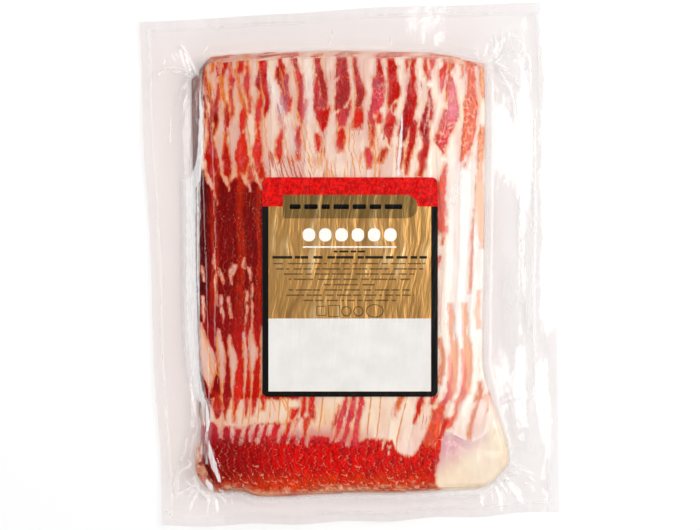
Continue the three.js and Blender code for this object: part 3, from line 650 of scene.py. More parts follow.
def low_shade(U, V):
    ph = scale_phase(U, V)
    frac = ph - np.floor(ph)
    zone = smooth(432, 442, V)
    depth = 0.12 + 0.16 * smooth(458, 474, V)
    return 1 - zone * depth * (1 - smooth(0.05, 0.75, frac)) + zone * 0.10 * smooth(0.6, 0.95, frac)


def paint(U, V, under=False):
    """Lean mask, lean colour, fat colour, rind line and marbling at grid points."""
    shape = U.shape
    U = U.ravel()
    V = V.ravel()
    # up the upper wall the slices' ends carry on what their faces show
    crest = to_v(food_top(gx(U))) + 15.0 + 2.0 * fbm(U / 4.0, V * 0 + 3.0, 49, 2)
    V_own = V
    V = np.maximum(V, crest)
    wu = 0.9 * fbm(U / 5.0, V / 9.0, 41, 2) + 0.5 * fbm(U / 2.6, V / 4.2, 45, 2)
    wv = 1.2 * fbm(U / 7.0, V / 7.0, 43, 2) + 1.1 * fbm(U / 2.2, V / 5.0, 46, 2)
    Uw = U + wu
    Vw = V + wv
    best = np.full(U.shape, -6.0)
    wsum = np.full(U.shape, 1e-4)
    csum = np.tile(TONES["red"], (len(U), 1)) * 1e-4
    for tone, stations in LEAN:
        near = (V > stations[0][0] - 5) & (V < stations[-1][0] + 5)
        lo = min(s[1] for s in stations) - 6
        hi = max(s[2] for s in stations) + 6
        near &= (U > lo) & (U < hi)
        idx = np.nonzero(near)[0]
        if len(idx) == 0:
            continue
        d = inside_shape(Uw[idx], Vw[idx], stations)
        best[idx] = np.maximum(best[idx], d)
        wt = np.exp(1.5 * np.clip(d, -6, 2.5))
        wsum[idx] += wt
        csum[idx] += wt[:, None] * TONES[tone]
    # the muscle at the left and the muscle along the lower end
    left_top = np.interp(U, [198, 206, 214, 218, 226, 231, 240, 250, 256, 262, 272], [168, 172, 178, 172, 178, 182, 176, 182, 178, 184, 184])
    left_field = np.minimum(np.minimum(Vw - left_top, 398 - Vw), 300 - U)
    right_cut = np.interp(V, [440, 452, 464, 478, 490], [441.0, 439.5, 436.4, 434.0, 437.0])
    low_field = np.minimum(np.minimum(Vw - muscle_top(Uw), 497 - V), (right_cut + 1.4 * vnoise(V / 3.0, V * 0 + 2.0, 47) - U))
    low_field = np.minimum(low_field, U - 190)
    own = np.maximum(best, -6.0)
    best = np.maximum(best, np.maximum(left_field, low_field))
    sel = np.nonzero((left_field > -2) & (U < 300))[0]
    uu, vv = U[sel], V[sel]
    cols = np.tile(TONES["deep"], (len(uu), 1)).astype(float)
    dark = smooth(214, 203, uu)[:, None] * 0.9
    cols = cols * (1 - dark) + TONES["maroon"] * dark
    sway = 1.3 * vnoise(vv / 18.0, vv * 0 + 1.0, 51) + 0.7 * vnoise(vv / 5.0, vv * 0 + 2.0, 52)
    for lo, hi, tone in ((211.5, 218.2, "ocol"), (237.2, 244.8, "ocol"), (256.8, 262.4, "ocol")):
        m = smooth(lo - 1.4, lo + 1.4, uu + sway) * smooth(hi + 1.0, hi - 1.2, uu + sway)
        m = (m * smooth(330, 300, vv) * (0.75 + 0.4 * fbm(uu / 3, vv / 9, 53, 2)))[:, None]
        m = np.clip(m, 0, 1)
        cols = cols * (1 - m) + TONES[tone] * m
    lower = smooth(285, 330, vv)[:, None]
    cols = cols * (1 - 0.45 * lower) + TONES["crimson"] * 0.45 * lower
    warm_low = smooth(228, 240, uu)[:, None] * smooth(300, 340, vv)[:, None] * 0.5
    cols = cols * (1 - warm_low) + TONES["bright"] * warm_low
    wt = np.exp(1.5 * np.clip(left_field[sel], -6, 0.6))
    wsum[sel] += wt
    csum[sel] += wt[:, None] * cols
    sel = np.nonzero(low_field > -2)[0]
    uu, vv = U[sel], V[sel]
    # darker to the left and brighter to the right: painted light from the right
    t = smooth(225, 300, uu)[:, None]
    cols = srgb(150, 4, 4) * (1 - t) + srgb(228, 12, 6) * t
    right = smooth(330, 420, uu)[:, None] * 0.4
    cols = cols * (1 - right) + TONES["bright"] * right
    mott = smooth(-0.1, 0.5, fbm(uu / 7, vv / 10, 57, 3))[:, None] * 0.45
    cols = cols * (1 - mott) + srgb(176, 16, 30) * mott
    low = (smooth(466, 490, vv + 9 * fbm(uu / 9, vv / 7, 55, 2)) * (0.3 + 0.5 * smooth(225, 290, uu)))[:, None]
    cols = cols * (1 - low) + srgb(232, 74, 10) * low
    head = (smooth(450, 430, vv) * 0.35)[:, None]
    cols = cols * (1 - head) + TONES["hotpink"] * head
    cols = cols * low_shade(uu, vv)[:, None]
    wt = np.exp(1.5 * np.clip(low_field[sel], -6, 0.6))
    wsum[sel] += wt
    csum[sel] += wt[:, None] * cols
    lean_rgb = csum / wsum[:, None] * np.array([1.0, 0.86, 0.80])
    # fat
    fat_d = np.full(U.shape, -6.0)
    for stations in FAT:
        near = (V > stations[0][0] - 5) & (V < stations[-1][0] + 5)
        lo = min(s[1] for s in stations) - 6
        hi = max(s[2] for s in stations) + 6
        idx = np.nonzero(near & (U > lo) & (U < hi))[0]
        if len(idx) == 0:
            continue
        d = inside_shape(U[idx] + 0.9 * wu[idx], V[idx] + 1.2 * wv[idx], stations)
        fat_d[idx] = np.maximum(fat_d[idx], d)
    best = np.where(fat_d > -1.2, np.minimum(best, -fat_d * 1.0), best)
    # fat: cream and rosy patches that run along the slices, paler towards the right as painted light from that side,
    # and rosier towards each strip's right side as painted shade beside the next slice's edge
    across = smooth(205, 440, U)[:, None]
    strip = strip_coord(U, V)
    kk = np.floor(strip)
    own_shift = lattice(kk, kk * 0 + 5, 63)
    patch = fbm(U / 12.0, V / 36.0 + own_shift * 3, 61, 3) + 0.22 * own_shift + 0.35 * (strip - kk - 0.5)
    rosy = smooth(-0.34 - 0.25 * smooth(262, 245, U), 0.40 - 0.2 * smooth(262, 245, U), patch)[:, None]
    cream = srgb(236, 206, 184) * (1 - across) + srgb(254, 238, 220) * across
    tint = srgb(216, 166, 148) * (1 - across) + srgb(240, 206, 190) * across
    cream_patch = (bump(U, 275, 8) * bump(V, 132, 30) + bump(U, 311, 6) * bump(V, 80, 20) + bump(U, 334, 7) * bump(V, 162, 16) + bump(U, 436, 8) * bump(V, 165, 22))[:, None]
    rosy = rosy * (1 - np.clip(cream_patch, 0, 1))
    fat = cream * (1 - rosy) + tint * rosy
    deepen = (smooth(0.1, 0.6, fbm(U / 5.0, V / 16.0, 65, 3)) * smooth(430, 330, U) * 0.35)[:, None]
    fat = fat * (1 - deepen) + srgb(216, 150, 136) * deepen
    lens = (smooth(316, 330, V) * smooth(404, 392, V) * smooth(272, 262, U))[:, None]
    fat = fat * (1 - 0.75 * lens) + srgb(214, 166, 150) * 0.75 * lens
    warm = (bump(V, 410, 22) * smooth(215, 240, U) * smooth(440, 380, U))[:, None]
    fat = fat * (1 - 0.65 * warm) + srgb(245, 220, 186) * 0.65 * warm
    yellow_patch = (bump(U, 324, 9) * bump(V, 420, 14))[:, None]
    fat = fat * (1 - 0.5 * yellow_patch) + srgb(238, 184, 116) * 0.5 * yellow_patch
    tongue = (smooth(422, 436, V) * smooth(380, 350, U))[:, None]
    fat = fat * (1 - 0.85 * tongue) + srgb(208, 104, 104) * 0.85 * tongue
    tongue = (smooth(436, 452, V) * smooth(370, 390, U) * smooth(430, 412, U))[:, None]
    fat = fat * (1 - 0.35 * tongue) + srgb(238, 190, 190) * 0.35 * tongue
    yellow = (bump(U, 216, 7) * bump(V, 386, 12))[:, None]
    fat = fat * (1 - 0.85 * yellow) + srgb(214, 142, 58) * 0.85 * yellow
    sun = (bump(U, 213, 6) * bump(V, 92, 16) + bump(U, 228, 5) * bump(V, 96, 12) + bump(U, 246, 5) * bump(V, 100, 10))[:, None]
    fat = fat * (1 - 0.6 * np.clip(sun, 0, 1)) + srgb(238, 200, 150) * 0.6 * np.clip(sun, 0, 1)
    # painted light: the fat on the right side turns almost white where the light washes it out
    pale = (smooth(436, 462, U) * smooth(120, 180, V) * smooth(380, 320, V))[:, None]
    fat = fat * (1 - 0.8 * pale) + srgb(255, 247, 240) * 0.8 * pale
    # the cut ends along the lower and upper walls, seen through the film
    db = to_v(food_bottom(gx(U))) - V
    band = smooth(11.5, 7.5, db + 2.2 * fbm(U / 7.0, V / 5.0, 67, 2))
    tan = smooth(-0.15, 0.35, fbm(U / 16.0, V / 1.6, 68, 3))[:, None]
    cut_end = smooth(0.15, 0.5, fbm(U / 11.0 + 9.0, V / 3.0, 74, 2))[:, None]
    end_col = srgb(198, 78, 58) * (1 - tan) + srgb(222, 158, 112) * tan
    end_col = end_col * (1 - 0.7 * cut_end) + srgb(240, 206, 162) * 0.7 * cut_end
    low_band = smooth(4.5, 1.5, db)[:, None] * 0.45
    end_col = end_col * (1 - low_band) + srgb(206, 150, 118) * low_band
    lean_rgb = lean_rgb * (1 - band[:, None] * 0.85) + end_col * band[:, None] * 0.85
    fat = fat * (1 - band[:, None] * 0.6) + end_col * band[:, None] * 0.6
    dt = V_own - to_v(food_top(gx(U)))
    band = smooth(13.0, 8.5, dt) * (0.60 + 0.12 * fbm(U / 9.0, V_own / 3.0, 69, 2))
    band = np.clip(band, 0, 1) * smooth(192, 198, U)
    ends = (smooth(0.0, 0.45, fbm(U / 6.0, V_own / 14.0, 70, 2)) * 0.5)[:, None]
    t = smooth(262, 340, U)[:, None]
    end_top = srgb(208, 152, 128) * (1 - t) + srgb(240, 210, 196) * t
    end_top = end_top * (1 - ends) + srgb(202, 126, 108) * ends
    fat = fat * (1 - band[:, None]) + end_top * band[:, None]
    dull = np.clip(1.35 * band, 0, 1)[:, None]
    t = smooth(290, 345, U)[:, None] * (1 - 0.55 * smooth(0.0, 0.3, fbm(U / 9.0, V_own / 1.8, 79, 2)))[:, None]
    lean_rgb = lean_rgb * (1 - 0.88 * dull) + (srgb(190, 108, 96) * (1 - t) + srgb(242, 210, 194) * t) * 0.88 * dull
    # the paler lean of the last slices: rose with a red end, and an orange one
    m = (smooth(430, 434, U) * smooth(463, 460, U) * smooth(76, 84, V) * smooth(158, 150, V))[:, None]
    t = smooth(112, 132, V)[:, None]
    rose = srgb(230, 122, 142) * (1 - t) + srgb(226, 76, 78) * t
    edge_red = (smooth(0.3, -0.3, fbm(U / 6.0, V / 16.0, 76, 2) + 0.16 * (U - 446)) * 0.5)[:, None]
    rose = rose * (1 - edge_red) + srgb(206, 52, 40) * edge_red
    lean_rgb = lean_rgb * (1 - 0.85 * m) + rose * 0.85 * m
    m = (smooth(461, 464, U) * smooth(478.5, 476, U) * smooth(62, 70, V) * smooth(176, 160, V))[:, None]
    lean_rgb = lean_rgb * (1 - 0.95 * m) + srgb(234, 104, 64) * 0.95 * m
    flecky = np.clip((0.55 * smooth(432, 436, U) * smooth(462, 458, U) + 0.9 * smooth(461, 464, U) * smooth(484, 480, U)) * smooth(64, 74, V) * smooth(170, 160, V) + bump(U, 447, 9) * bump(V, 140, 14) + 0.9 * bump(U, 380, 5) * bump(V, 88, 12) + 0.4 * bump(U, 288, 8) * bump(V, 80, 20), 0, 1)
    # the loose fat beyond the slices' ends at the lower right
    loose = ((U > right_cut - 4) & (V > end_line(U) - 1.0) & (U > 428))
    m = np.maximum(smooth(0, 30, (U - 446) * 0.55 + (V - 444) * 0.8 + 3 * fbm(U / 12, V / 12, 171, 2)), smooth(478, 490, U))[:, None]
    lilac = srgb(216, 158, 168) * (1 - m) + srgb(244, 226, 196) * m
    fat = np.where(loose[:, None], lilac, fat)
    # painted highlight: a whitish line along the ends of the last slices, where the film folds over them
    painted_end_highlight = (bump(V - end_line(U), -1.6, 1.7) * smooth(440, 446, U) * smooth(490, 484, U))[:, None]
    fat = fat * (1 - 0.8 * painted_end_highlight) + srgb(252, 232, 230) * 0.8 * painted_end_highlight
    if under:
        # ends of the lower slices down the left wall; the dark band from v 90 to 168 is painted shade on the wall
        t = smooth(90, 168, V)[:, None]
        side = srgb(138, 98, 94) * (1 - t) + srgb(88, 44, 54) * t
        t = smooth(168, 260, V)[:, None]
        side = side * (1 - t) + srgb(132, 78, 72) * t
        t = smooth(380, 440, V)[:, None]
        side = side * (1 - t) + srgb(176, 104, 78) * t
        n = (0.5 + 0.5 * fbm(U / 3.0, V / 26.0, 64, 3))[:, None]
        outer = smooth(7.0, 1.0, U - edge_u(0, V))
        fat = fat * (1 - outer[:, None]) + side * (0.8 + 0.4 * n) * outer[:, None]
        best = np.where((outer > 0.3) & (V < 395), -6.0, np.where(outer > 0.3, best - 2.0, best))
    # rind lines
    rind = np.zeros(U.shape)
    for k, v0, v1, s in RIND:
        e = edge_u(k, V)
        line = np.exp(-(((U - e - 0.5) / 0.85) ** 2))
        fade = smooth(v0 - 3, v0 + 3, V) * smooth(v1 + 3, v1 - 3, V)
        broken = 0.75 + 0.45 * fbm(V / 5.0, V * 0 + k, 71, 2)
        rind = np.maximum(rind, line * fade * s * broken)
    # extra thin orange lines inside the fat, under the label's lower edge
    for pts, s in ((([(326, 201.5), (342, 206.4), (355, 209.8), (366, 210.6), (376, 213.5)]), 0.9),
                   (([(362, 212), (370, 216.5), (378, 220.5)]), 0.8),
                   (([(397, 271.5), (404, 274), (411, 276)]), 0.8),
                   (([(396, 281), (403, 284), (411, 287)]), 0.9),
                   (([(396, 284.5), (403, 287), (410, 288.4)]), 0.9),
                   ([(108, 262), (122, 264.2), (134, 266), (146, 268.4), (158, 271)], 0.8), ([(112, 281), (126, 283.4), (138, 285), (150, 287.6), (168, 292)], 0.85),
                   ([(120, 285.4), (132, 288), (146, 291), (162, 296)], 0.6), ([(112, 299.4), (126, 300.4), (138, 303), (150, 306), (170, 311)], 0.85),
                   ([(124, 304), (136, 307.4), (150, 311), (170, 317)], 0.65), ([(138, 320.6), (150, 323.6), (162, 326.4), (178, 330)], 0.75),
                   ([(122, 348.4), (134, 350), (146, 349.4), (158, 352), (178, 354)], 0.85), ([(128, 353), (140, 354.4), (152, 355.4), (174, 358.6)], 0.65),
                   ([(120, 369.2), (132, 371.6), (144, 373), (158, 375.4), (180, 374.4)], 0.9), ([(126, 374.6), (138, 377.4), (150, 379), (178, 379.6)], 0.7),
                   ([(150, 399), (164, 401.6), (180, 402)], 0.6), ([(62, 238.6), (76, 237.6), (92, 238.6), (106, 243)], 0.7), ([(62, 221), (80, 221.6), (96, 223.4)], 0.6)):
        c = np.interp(V, [p[0] for p in pts], [p[1] for p in pts]) + (1.3 * vnoise(V / 6.0, V * 0 + pts[0][1], 77) + 0.7 * vnoise(V / 2.4, V * 0 + pts[0][1], 78)) * (V < 190)
        line = np.exp(-(((U - c) / 0.8) ** 2)) * smooth(pts[0][0] - 2, pts[0][0] + 2, V) * smooth(pts[-1][0] + 2, pts[-1][0] - 2, V)
        rind = np.maximum(rind, line * s)
    marble = np.clip(np.maximum(smooth(-1, 3, left_field), smooth(-1, 3, low_field)), 0, 1)
    lean = clip01(0.5 + best / 10.0)
    quiet = smooth(438, 450, U) * smooth(0.5, -1.5, low_field) * smooth(176, 190, V)
    halo = np.where(V < 188, np.maximum(0.95 * smooth(280, 254, U), 0.85 * smooth(108, 146, V)), 0.6)
    halo = np.maximum(halo, 0.35) * smooth(2.0, -1.0, low_field) * (1 - 0.75 * smooth(426, 436, U) * smooth(188, 180, V))
    strand, strand_zone, strand_warm = strand_fields(U, V)
    if under:
        strand_zone = strand_zone * 0
    # running number of the fine scales, in the lower muscle and in the muscle at the left
    zone_low = smooth(-0.5, 2.5, low_field) * smooth(430, 440, V) * smooth(495, 488, V)
    zone_left = 0.62 * smooth(0, 3, left_field) * smooth(345, 315, V) * smooth(188, 198, V)
    in_low = zone_low > zone_left
    left_run = (U + 0.05 * (V - 250) + 1.2 * vnoise(V / 14.0, V * 0 + 5.0, 59)) / 6.4 + 40.0
    scale = np.where(V > 400, scale_phase(U, V), left_run)
    looks = {"flecky": flecky, "quiet": quiet, "halo": halo, "lean": lean, "rind": rind, "marble": marble, "strand": strand, "strand_zone": strand_zone, "strand_warm": strand_warm,
             "scale": scale, "scale_zone": np.where(in_low, zone_low, zone_left), "scale_low": smooth(458, 478, V) * zone_low}
    return {k: v.ravel() for k, v in looks.items()}, lean_rgb, fat


def set_looks(ob, looks, lean_rgb, fat_rgb, copies=2):
    for name, values in looks.items():
        set_float(ob, name, np.tile(values, copies))
    set_color(ob, "lean_rgb", np.tile(lean_rgb, (copies, 1)))
    set_color(ob, "fat_rgb", np.tile(fat_rgb, (copies, 1)))


# ------------------------------------------------------------- the slices
def slice_object(k):
    """One slice: k is its strip; strips below 0 lie under the first one."""
    shown = k >= 0
    nv = 250 if shown else 110
    n_vis = 18 if shown else 6
    n_hid = 7
    last = k >= 21
    v_lo, v_hi = 488.0, 62.0
    rows = np.linspace(0, 1, nv)
    # first guess of the rows, then the ends are found from the height there
    if shown:
        e0 = lambda v: edge_u(k, v)
    else:
        depth = -k
        e0 = lambda v: to_u(food_left(gy(v)) + inset(np.maximum(lie(-72.0, gy(v)) - DIVE * depth, 0.3), WALL_LEFT))
    cols = np.concatenate([np.linspace(0, 1, n_vis), 1 + np.linspace(0, 1, n_hid + 1)[1:]])
    reach = 8.8
    C, R = np.meshgrid(cols, rows)
    V = v_lo + (v_hi - v_lo) * R
    U = np.zeros_like(V)
    Z = np.zeros_like(V)
    jit_top = 1.1 * vnoise(np.array([k * 1.7]), np.array([3.0]), 81)[0]
    jit_bot = 1.1 * vnoise(np.array([k * 2.3]), np.array([7.0]), 82)[0]
    for it in range(5):
        start = e0(V)
        if not shown:
            start = np.maximum(start, edge_u(0, V) - 30 + smooth(395, 425, V) * (26 - 6.0 * (-k) / UNDER))
        if shown:
            nxt = edge_u(min(k + 1, SLICES), V)
            end_k = k + reach
            if end_k < SLICES:
                ik = int(end_k)
                end = mix(edge_u(ik, V), edge_u(ik + 1, V), end_k - ik)
            else:
                end = edge_u(SLICES, V) + 60.0
        else:
            nxt = start + 7.0
            end_k = max(k + reach, 0.4)
            ik = int(end_k)
            end = mix(edge_u(ik, V), edge_u(ik + 1, V), end_k - ik)
        nxt = nxt + 1.2
        zc = np.maximum(Z, 0.4)
        wall_u = to_u(food_right(gy(V)) - inset(zc, WALL_RIGHT) - 0.3)
        if k >= 20:
            wall_u = np.minimum(wall_u, np.interp(V, [380, 400, 430, 445, 490], [487, 489, 489, 480, 476]) - 0.5)
        nxt = np.minimum(nxt, wall_u - 0.5)
        end = np.minimum(end, wall_u)
        end = np.maximum(end, nxt + 0.3)
        U = np.where(C <= 1, start + (nxt - start) * C, nxt + (end - nxt) * (C - 1))
        x = gx(U)
        y = gy(V)
        across = strip_coord(U, V) - k
        base = lie(x, y)
        if shown:
            Z = base + slice_top(across)
        else:
            Z = base - DIVE * (across + 0.5 * 0.0) + 0.5 * RELIEF
        Z = np.maximum(Z, 0.35 + 0.8)
        top_v = to_v(food_top(x) - inset(Z, WALL_TOP) * 0.96 - 0.3) + jit_top
        bot_v = to_v(food_bottom(x) + inset(Z, WALL_BOTTOM) * 0.94 + 0.3) + jit_bot
        if last:
            bot_v = np.minimum(bot_v, end_line(U) + (0 if k == 22 else -1.5))
        V = bot_v + (top_v - bot_v) * R
    x = gx(U)
    y = gy(V)
    a = (U - U[:, :1])
    # soft outer edges and fine unevenness
    edge = 0.20 * np.exp(-((a / 1.1) ** 2))
    ends = np.minimum((V - V[-1:, :]), (V[:1, :] - V))
    edge = edge + 0.20 * np.exp(-((np.maximum(ends, 0) / 1.0) ** 2))
    fine = 0.03 * fbm(x / 2.2, y / 6.0, 91 + k, 2) + 0.04 * fbm(x / 9.0, y / 15.0, 131 + k, 2)
    looks, lean_rgb, fat_rgb = paint(U, V, under=not shown)
    ridge = fine_ridges(U, V)
    top = Z - edge + fine * (C < 1.1) - 0.03 * smooth(0.35, 0.7, looks["lean"].reshape(U.shape)) * (C < 1.1) + ridge * (C < 1.1)
    low = Z - (slice_thickness(across) if shown else THICK) + 0.02 * np.exp(-((a / 0.75) ** 2))
    low = np.maximum(low, 0.14)
    top = np.maximum(top, low + 0.03)
    nu = len(cols)
    P = np.stack([x, y, top], axis=2).reshape(-1, 3)
    Q = np.stack([x, y, low], axis=2).reshape(-1, 3)
    n = nu * nv
    faces = np.concatenate([grid_faces(nu, nv, 0), grid_faces(nu, nv, n, flip=True), rim_faces(nu, nv, n)])
    ob = make_mesh("slice_%02d" % (k + UNDER + 1), np.concatenate([P, Q]), faces)
    set_looks(ob, looks, lean_rgb, fat_rgb)
    return ob


def fine_ridges(U, V):
    """Small scales of the lean where thin slices lie close, at the lower end and the left."""
    low = smooth(432, 446, V) * smooth(493, 484, V) * smooth(444, 436, U) * smooth(206, 216, U)
    ph = scale_phase(U, V)
    frac = ph - np.floor(ph)
    a = 0.11 * low * (smooth(0.0, 0.12, frac) * (1 - frac))
    left = smooth(184, 200, V) * smooth(340, 318, V) * smooth(264, 258, U) * smooth(199, 203, U)
    phase = (U + 0.06 * (V - 250)) / 6.0 + 0.3 * fbm(U / 12, V / 20, 97, 2)
    saw = 0.5 - (phase - np.floor(phase))
    return a + 0.08 * left * saw


# ---------------------------------------------------------- height of food
def lobe_height(U, V):
    """Loose fat at the lower right, domed, under the last slices."""
    x, y = gx(U), gy(V)
    right = to_u(food_right(y)) - 1.0
    d_r = (right - U) * UNIT
    d_b = (to_v(food_bottom(x)) - 1.0 - V) * UNIT
    d_t = (V - 380.0) * UNIT
    d_l = (U - 432.0) * UNIT
    body = 9.1 + 1.35 * smooth(468, 441, U) * smooth(434, 446, V) + 0.25 * fbm(U / 14, V / 18, 101, 2) - 1.1 * smooth(470, 508, U) - 0.9 * smooth(455, 490, V)
    w = wall(d_r, 3.4) * wall(d_b, 3.4) * wall(d_t, 10.0)
    return np.where((d_r > 0) & (d_b > 0) & (d_t > 0) & (d_l > 0), body * w, 0.0)


CURL_PATH = [(440, 201.5, 3.0, 7.6), (450, 200.6, 5.4, 8.4), (460, 200.6, 7.4, 8.8), (468, 202.0, 8.4, 8.8), (476, 205.2, 8.6, 8.4),
             (483, 210.5, 7.8, 7.2), (489, 218.0, 5.6, 5.4), (492, 227.0, 3.4, 3.6)]


def curl_height(U, V):
    """The curled piece pressed into the lower left corner."""
    best = np.zeros(U.shape)
    pts = CURL_PATH
    for (v0, u0, w0, h0), (v1, u1, w1, h1) in zip(pts[:-1], pts[1:]):
        du, dv = u1 - u0, v1 - v0
        t = clip01(((U - u0) * du + (V - v0) * dv) / (du * du + dv * dv))
        d = np.hypot(U - (u0 + t * du), V - (v0 + t * dv))
        w = mix(w0, w1, t)
        h = mix(h0, h1, t)
        s = 1 - (d / w) ** 2
        best = np.maximum(best, np.where(s > 0, h * np.sqrt(np.maximum(s, 0)) ** 0.8, 0))
    return best


def food_height(U, V):
    """Top of everything inside the film, in mm; 0 outside the food."""
    x, y = gx(U), gy(V)
    w = wall(x - food_left(y), WALL_LEFT) * wall(food_right(y) - x, WALL_RIGHT)
    w = w * wall(food_top(x) - y, WALL_TOP) * wall(y - food_bottom(x), WALL_BOTTOM)
    across = strip_coord(U, V)
    k = np.floor(across)
    frac = across - k
    top = lie(x, y) + RELIEF * (0.5 - np.where(across < 0, 0.0, frac)) + fine_ridges(U, V)
    # beyond the last slices only the loose fat shows
    gone = np.maximum(smooth(0, 1.5, V - end_line(U)) * smooth(439, 441, U),
                      smooth(0, 1.2, U - np.interp(V, [300, 380, 400, 430, 445, 490], [497, 487.5, 489, 489, 480, 476])) * smooth(378, 384, V))
    stack = top * w
    lower = np.maximum(lobe_height(U, V), stack * 0.0)
    stack = stack * (1 - gone)
    out = np.maximum(stack, lower)
    out = np.maximum(out, curl_height(U, V))
    return out


def lobe_object():
    nu, nv = 64, 84
    R, C = np.meshgrid(np.linspace(0, 1, nv), np.linspace(0, 1, nu), indexing="ij")
    V = 494.0 + (384.0 - 494.0) * R
    for it in range(6):
        y = gy(V)
        right = to_u(food_right(y)) - 1.2
        left = np.interp(V, [384, 430, 440, 494], [478, 452, 434, 432])
        U = left + (right - left) * C
        bot = to_v(food_bottom(gx(U))) - 1.3
        V = bot + (386.0 - bot) * R
    Z = np.maximum(lobe_height(U, V), 0.5)
    looks, lean_rgb, fat_rgb = paint(U, V)
    n = U.size
    for name in looks:
        if name in ("lean", "strand_zone", "scale_zone"):
            looks[name] = np.where(U.ravel() < 441.5, looks[name], 0.0)
        if name in ("rind", "marble"):
            looks[name] = looks[name] * 0
    P = np.stack([gx(U), gy(V), Z], axis=2).reshape(-1, 3)
    Q = np.stack([gx(U), gy(V), np.full_like(Z, 0.14)], axis=2).reshape(-1, 3)
    faces = np.concatenate([grid_faces(nu, nv, 0), grid_faces(nu, nv, n, flip=True), rim_faces(nu, nv, n)])
    ob = make_mesh("loose_fat", np.concatenate([P, Q]), faces)
    set_looks(ob, looks, lean_rgb, fat_rgb)
    return ob


def curl_object():
    pts = np.array(CURL_PATH)
    t = np.linspace(0, 1, len(pts))
    tt = np.linspace(0, 1, 60)
    path = np.stack([gauss_smooth(np.interp(np.linspace(0, 1, 60), t, pts[:, i]), 2.0) for i in range(4)], axis=1)
    ring = 20
    verts = []
    for i in range(60):
        v, u, w, h = path[i]
        a = path[min(i + 1, 59)]
        b = path[max(i - 1, 0)]
        tu, tv = a[1] - b[1], a[0] - b[0]
        ln = math.hypot(tu, tv) + 1e-9
        nu_, nv_ = tv / ln, -tu / ln
        shrink = min(1.0, 0.25 + min(i, 59 - i) / 5.0)
        for j in range(ring):
            ang = 2 * math.pi * j / ring
            cs, sn = math.cos(ang), math.sin(ang)
            side = w * 0.86 * shrink * math.copysign(abs(cs) ** 0.8, cs)
            hz = 0.2 + (h * 0.93 * shrink) * (0.5 + 0.5 * math.copysign(abs(sn) ** 0.75, sn))
            hz += 0.25 * math.sin(i * 0.7 + j) * (1 if sn > 0.2 else 0)
            verts.append((gx(u + nu_ * side), gy(v + nv_ * side), hz))
    verts = np.array(verts)
    faces = []
    for i in range(59):
        for j in range(ring):
            j2 = (j + 1) % ring
            faces.append((i * ring + j, i * ring + j2, (i + 1) * ring + j2, (i + 1) * ring + j))
    c0 = len(verts)
    verts = np.vstack([verts, verts[:ring].mean(axis=0), verts[-ring:].mean(axis=0)])
    quads = np.array(faces)
    tris = []
    for j in range(ring):
        j2 = (j + 1) % ring
        tris.append((j2, j, c0, c0))
        tris.append((59 * ring + j, 59 * ring + j2, c0 + 1, c0 + 1))
    # the two end fans as quads split in three corners
    me_faces = [tuple(q) for q in quads] + [t[:3] for t in tris]
    v = verts.copy()
    v[:, 0] -= SHIFT_X
    v[:, 1] -= SHIFT_Y
    me = bpy.data.meshes.new("curled_piece")
    me.from_pydata((v * 0.001).tolist(), [], me_faces)
    me.update()
    for p in me.polygons:
        p.use_smooth = True
    ob = bpy.data.objects.new("curled_piece", me)
    bpy.context.scene.collection.objects.link(ob)
    n = len(verts)
    ju = to_u(verts[:, 0])
    jv = to_v(verts[:, 1])
    # place across the roll, -1 at its outer side and 1 at the slices' side
    centre = np.interp(jv, [q[0] for q in CURL_PATH], [q[1] for q in CURL_PATH])
    half = np.interp(jv, [q[0] for q in CURL_PATH], [q[2] for q in CURL_PATH])
    side = (ju - centre) / np.maximum(half, 1.0)
    tan = clip01(0.5 + 0.9 * fbm(ju / 3.0, jv / 5.0, 183, 2))[:, None]
    fat_rgb = srgb(150, 66, 34) * (1 - tan) + srgb(188, 110, 62) * tan
    looks = {"lean": clip01(0.35 + 0.55 * fbm(ju / 2.4, jv / 5.0, 181, 2) + 0.55 * bump(side, 0.62, 0.22)), "marble": np.full(n, 0.3)}
    red = clip01(bump(side, 0.62, 0.3))[:, None]
    lean_rgb = srgb(132, 42, 18) * (1 - red) + srgb(132, 14, 10) * red
    for name in ("flecky", "quiet", "halo", "rind", "strand", "strand_zone", "strand_warm", "scale", "scale_zone", "scale_low"):
        looks[name] = np.zeros(n)
    set_looks(ob, looks, lean_rgb, fat_rgb, 1)
    return ob


# --------------------------------------------------------------- the film
GX = np.arange(-107.0, 108.01, 0.5)
GY = np.arange(-133.0, 133.01, 0.5)
XX, YY = np.meshgrid(GX, GY)
UU, VV = to_u(XX), to_v(YY)

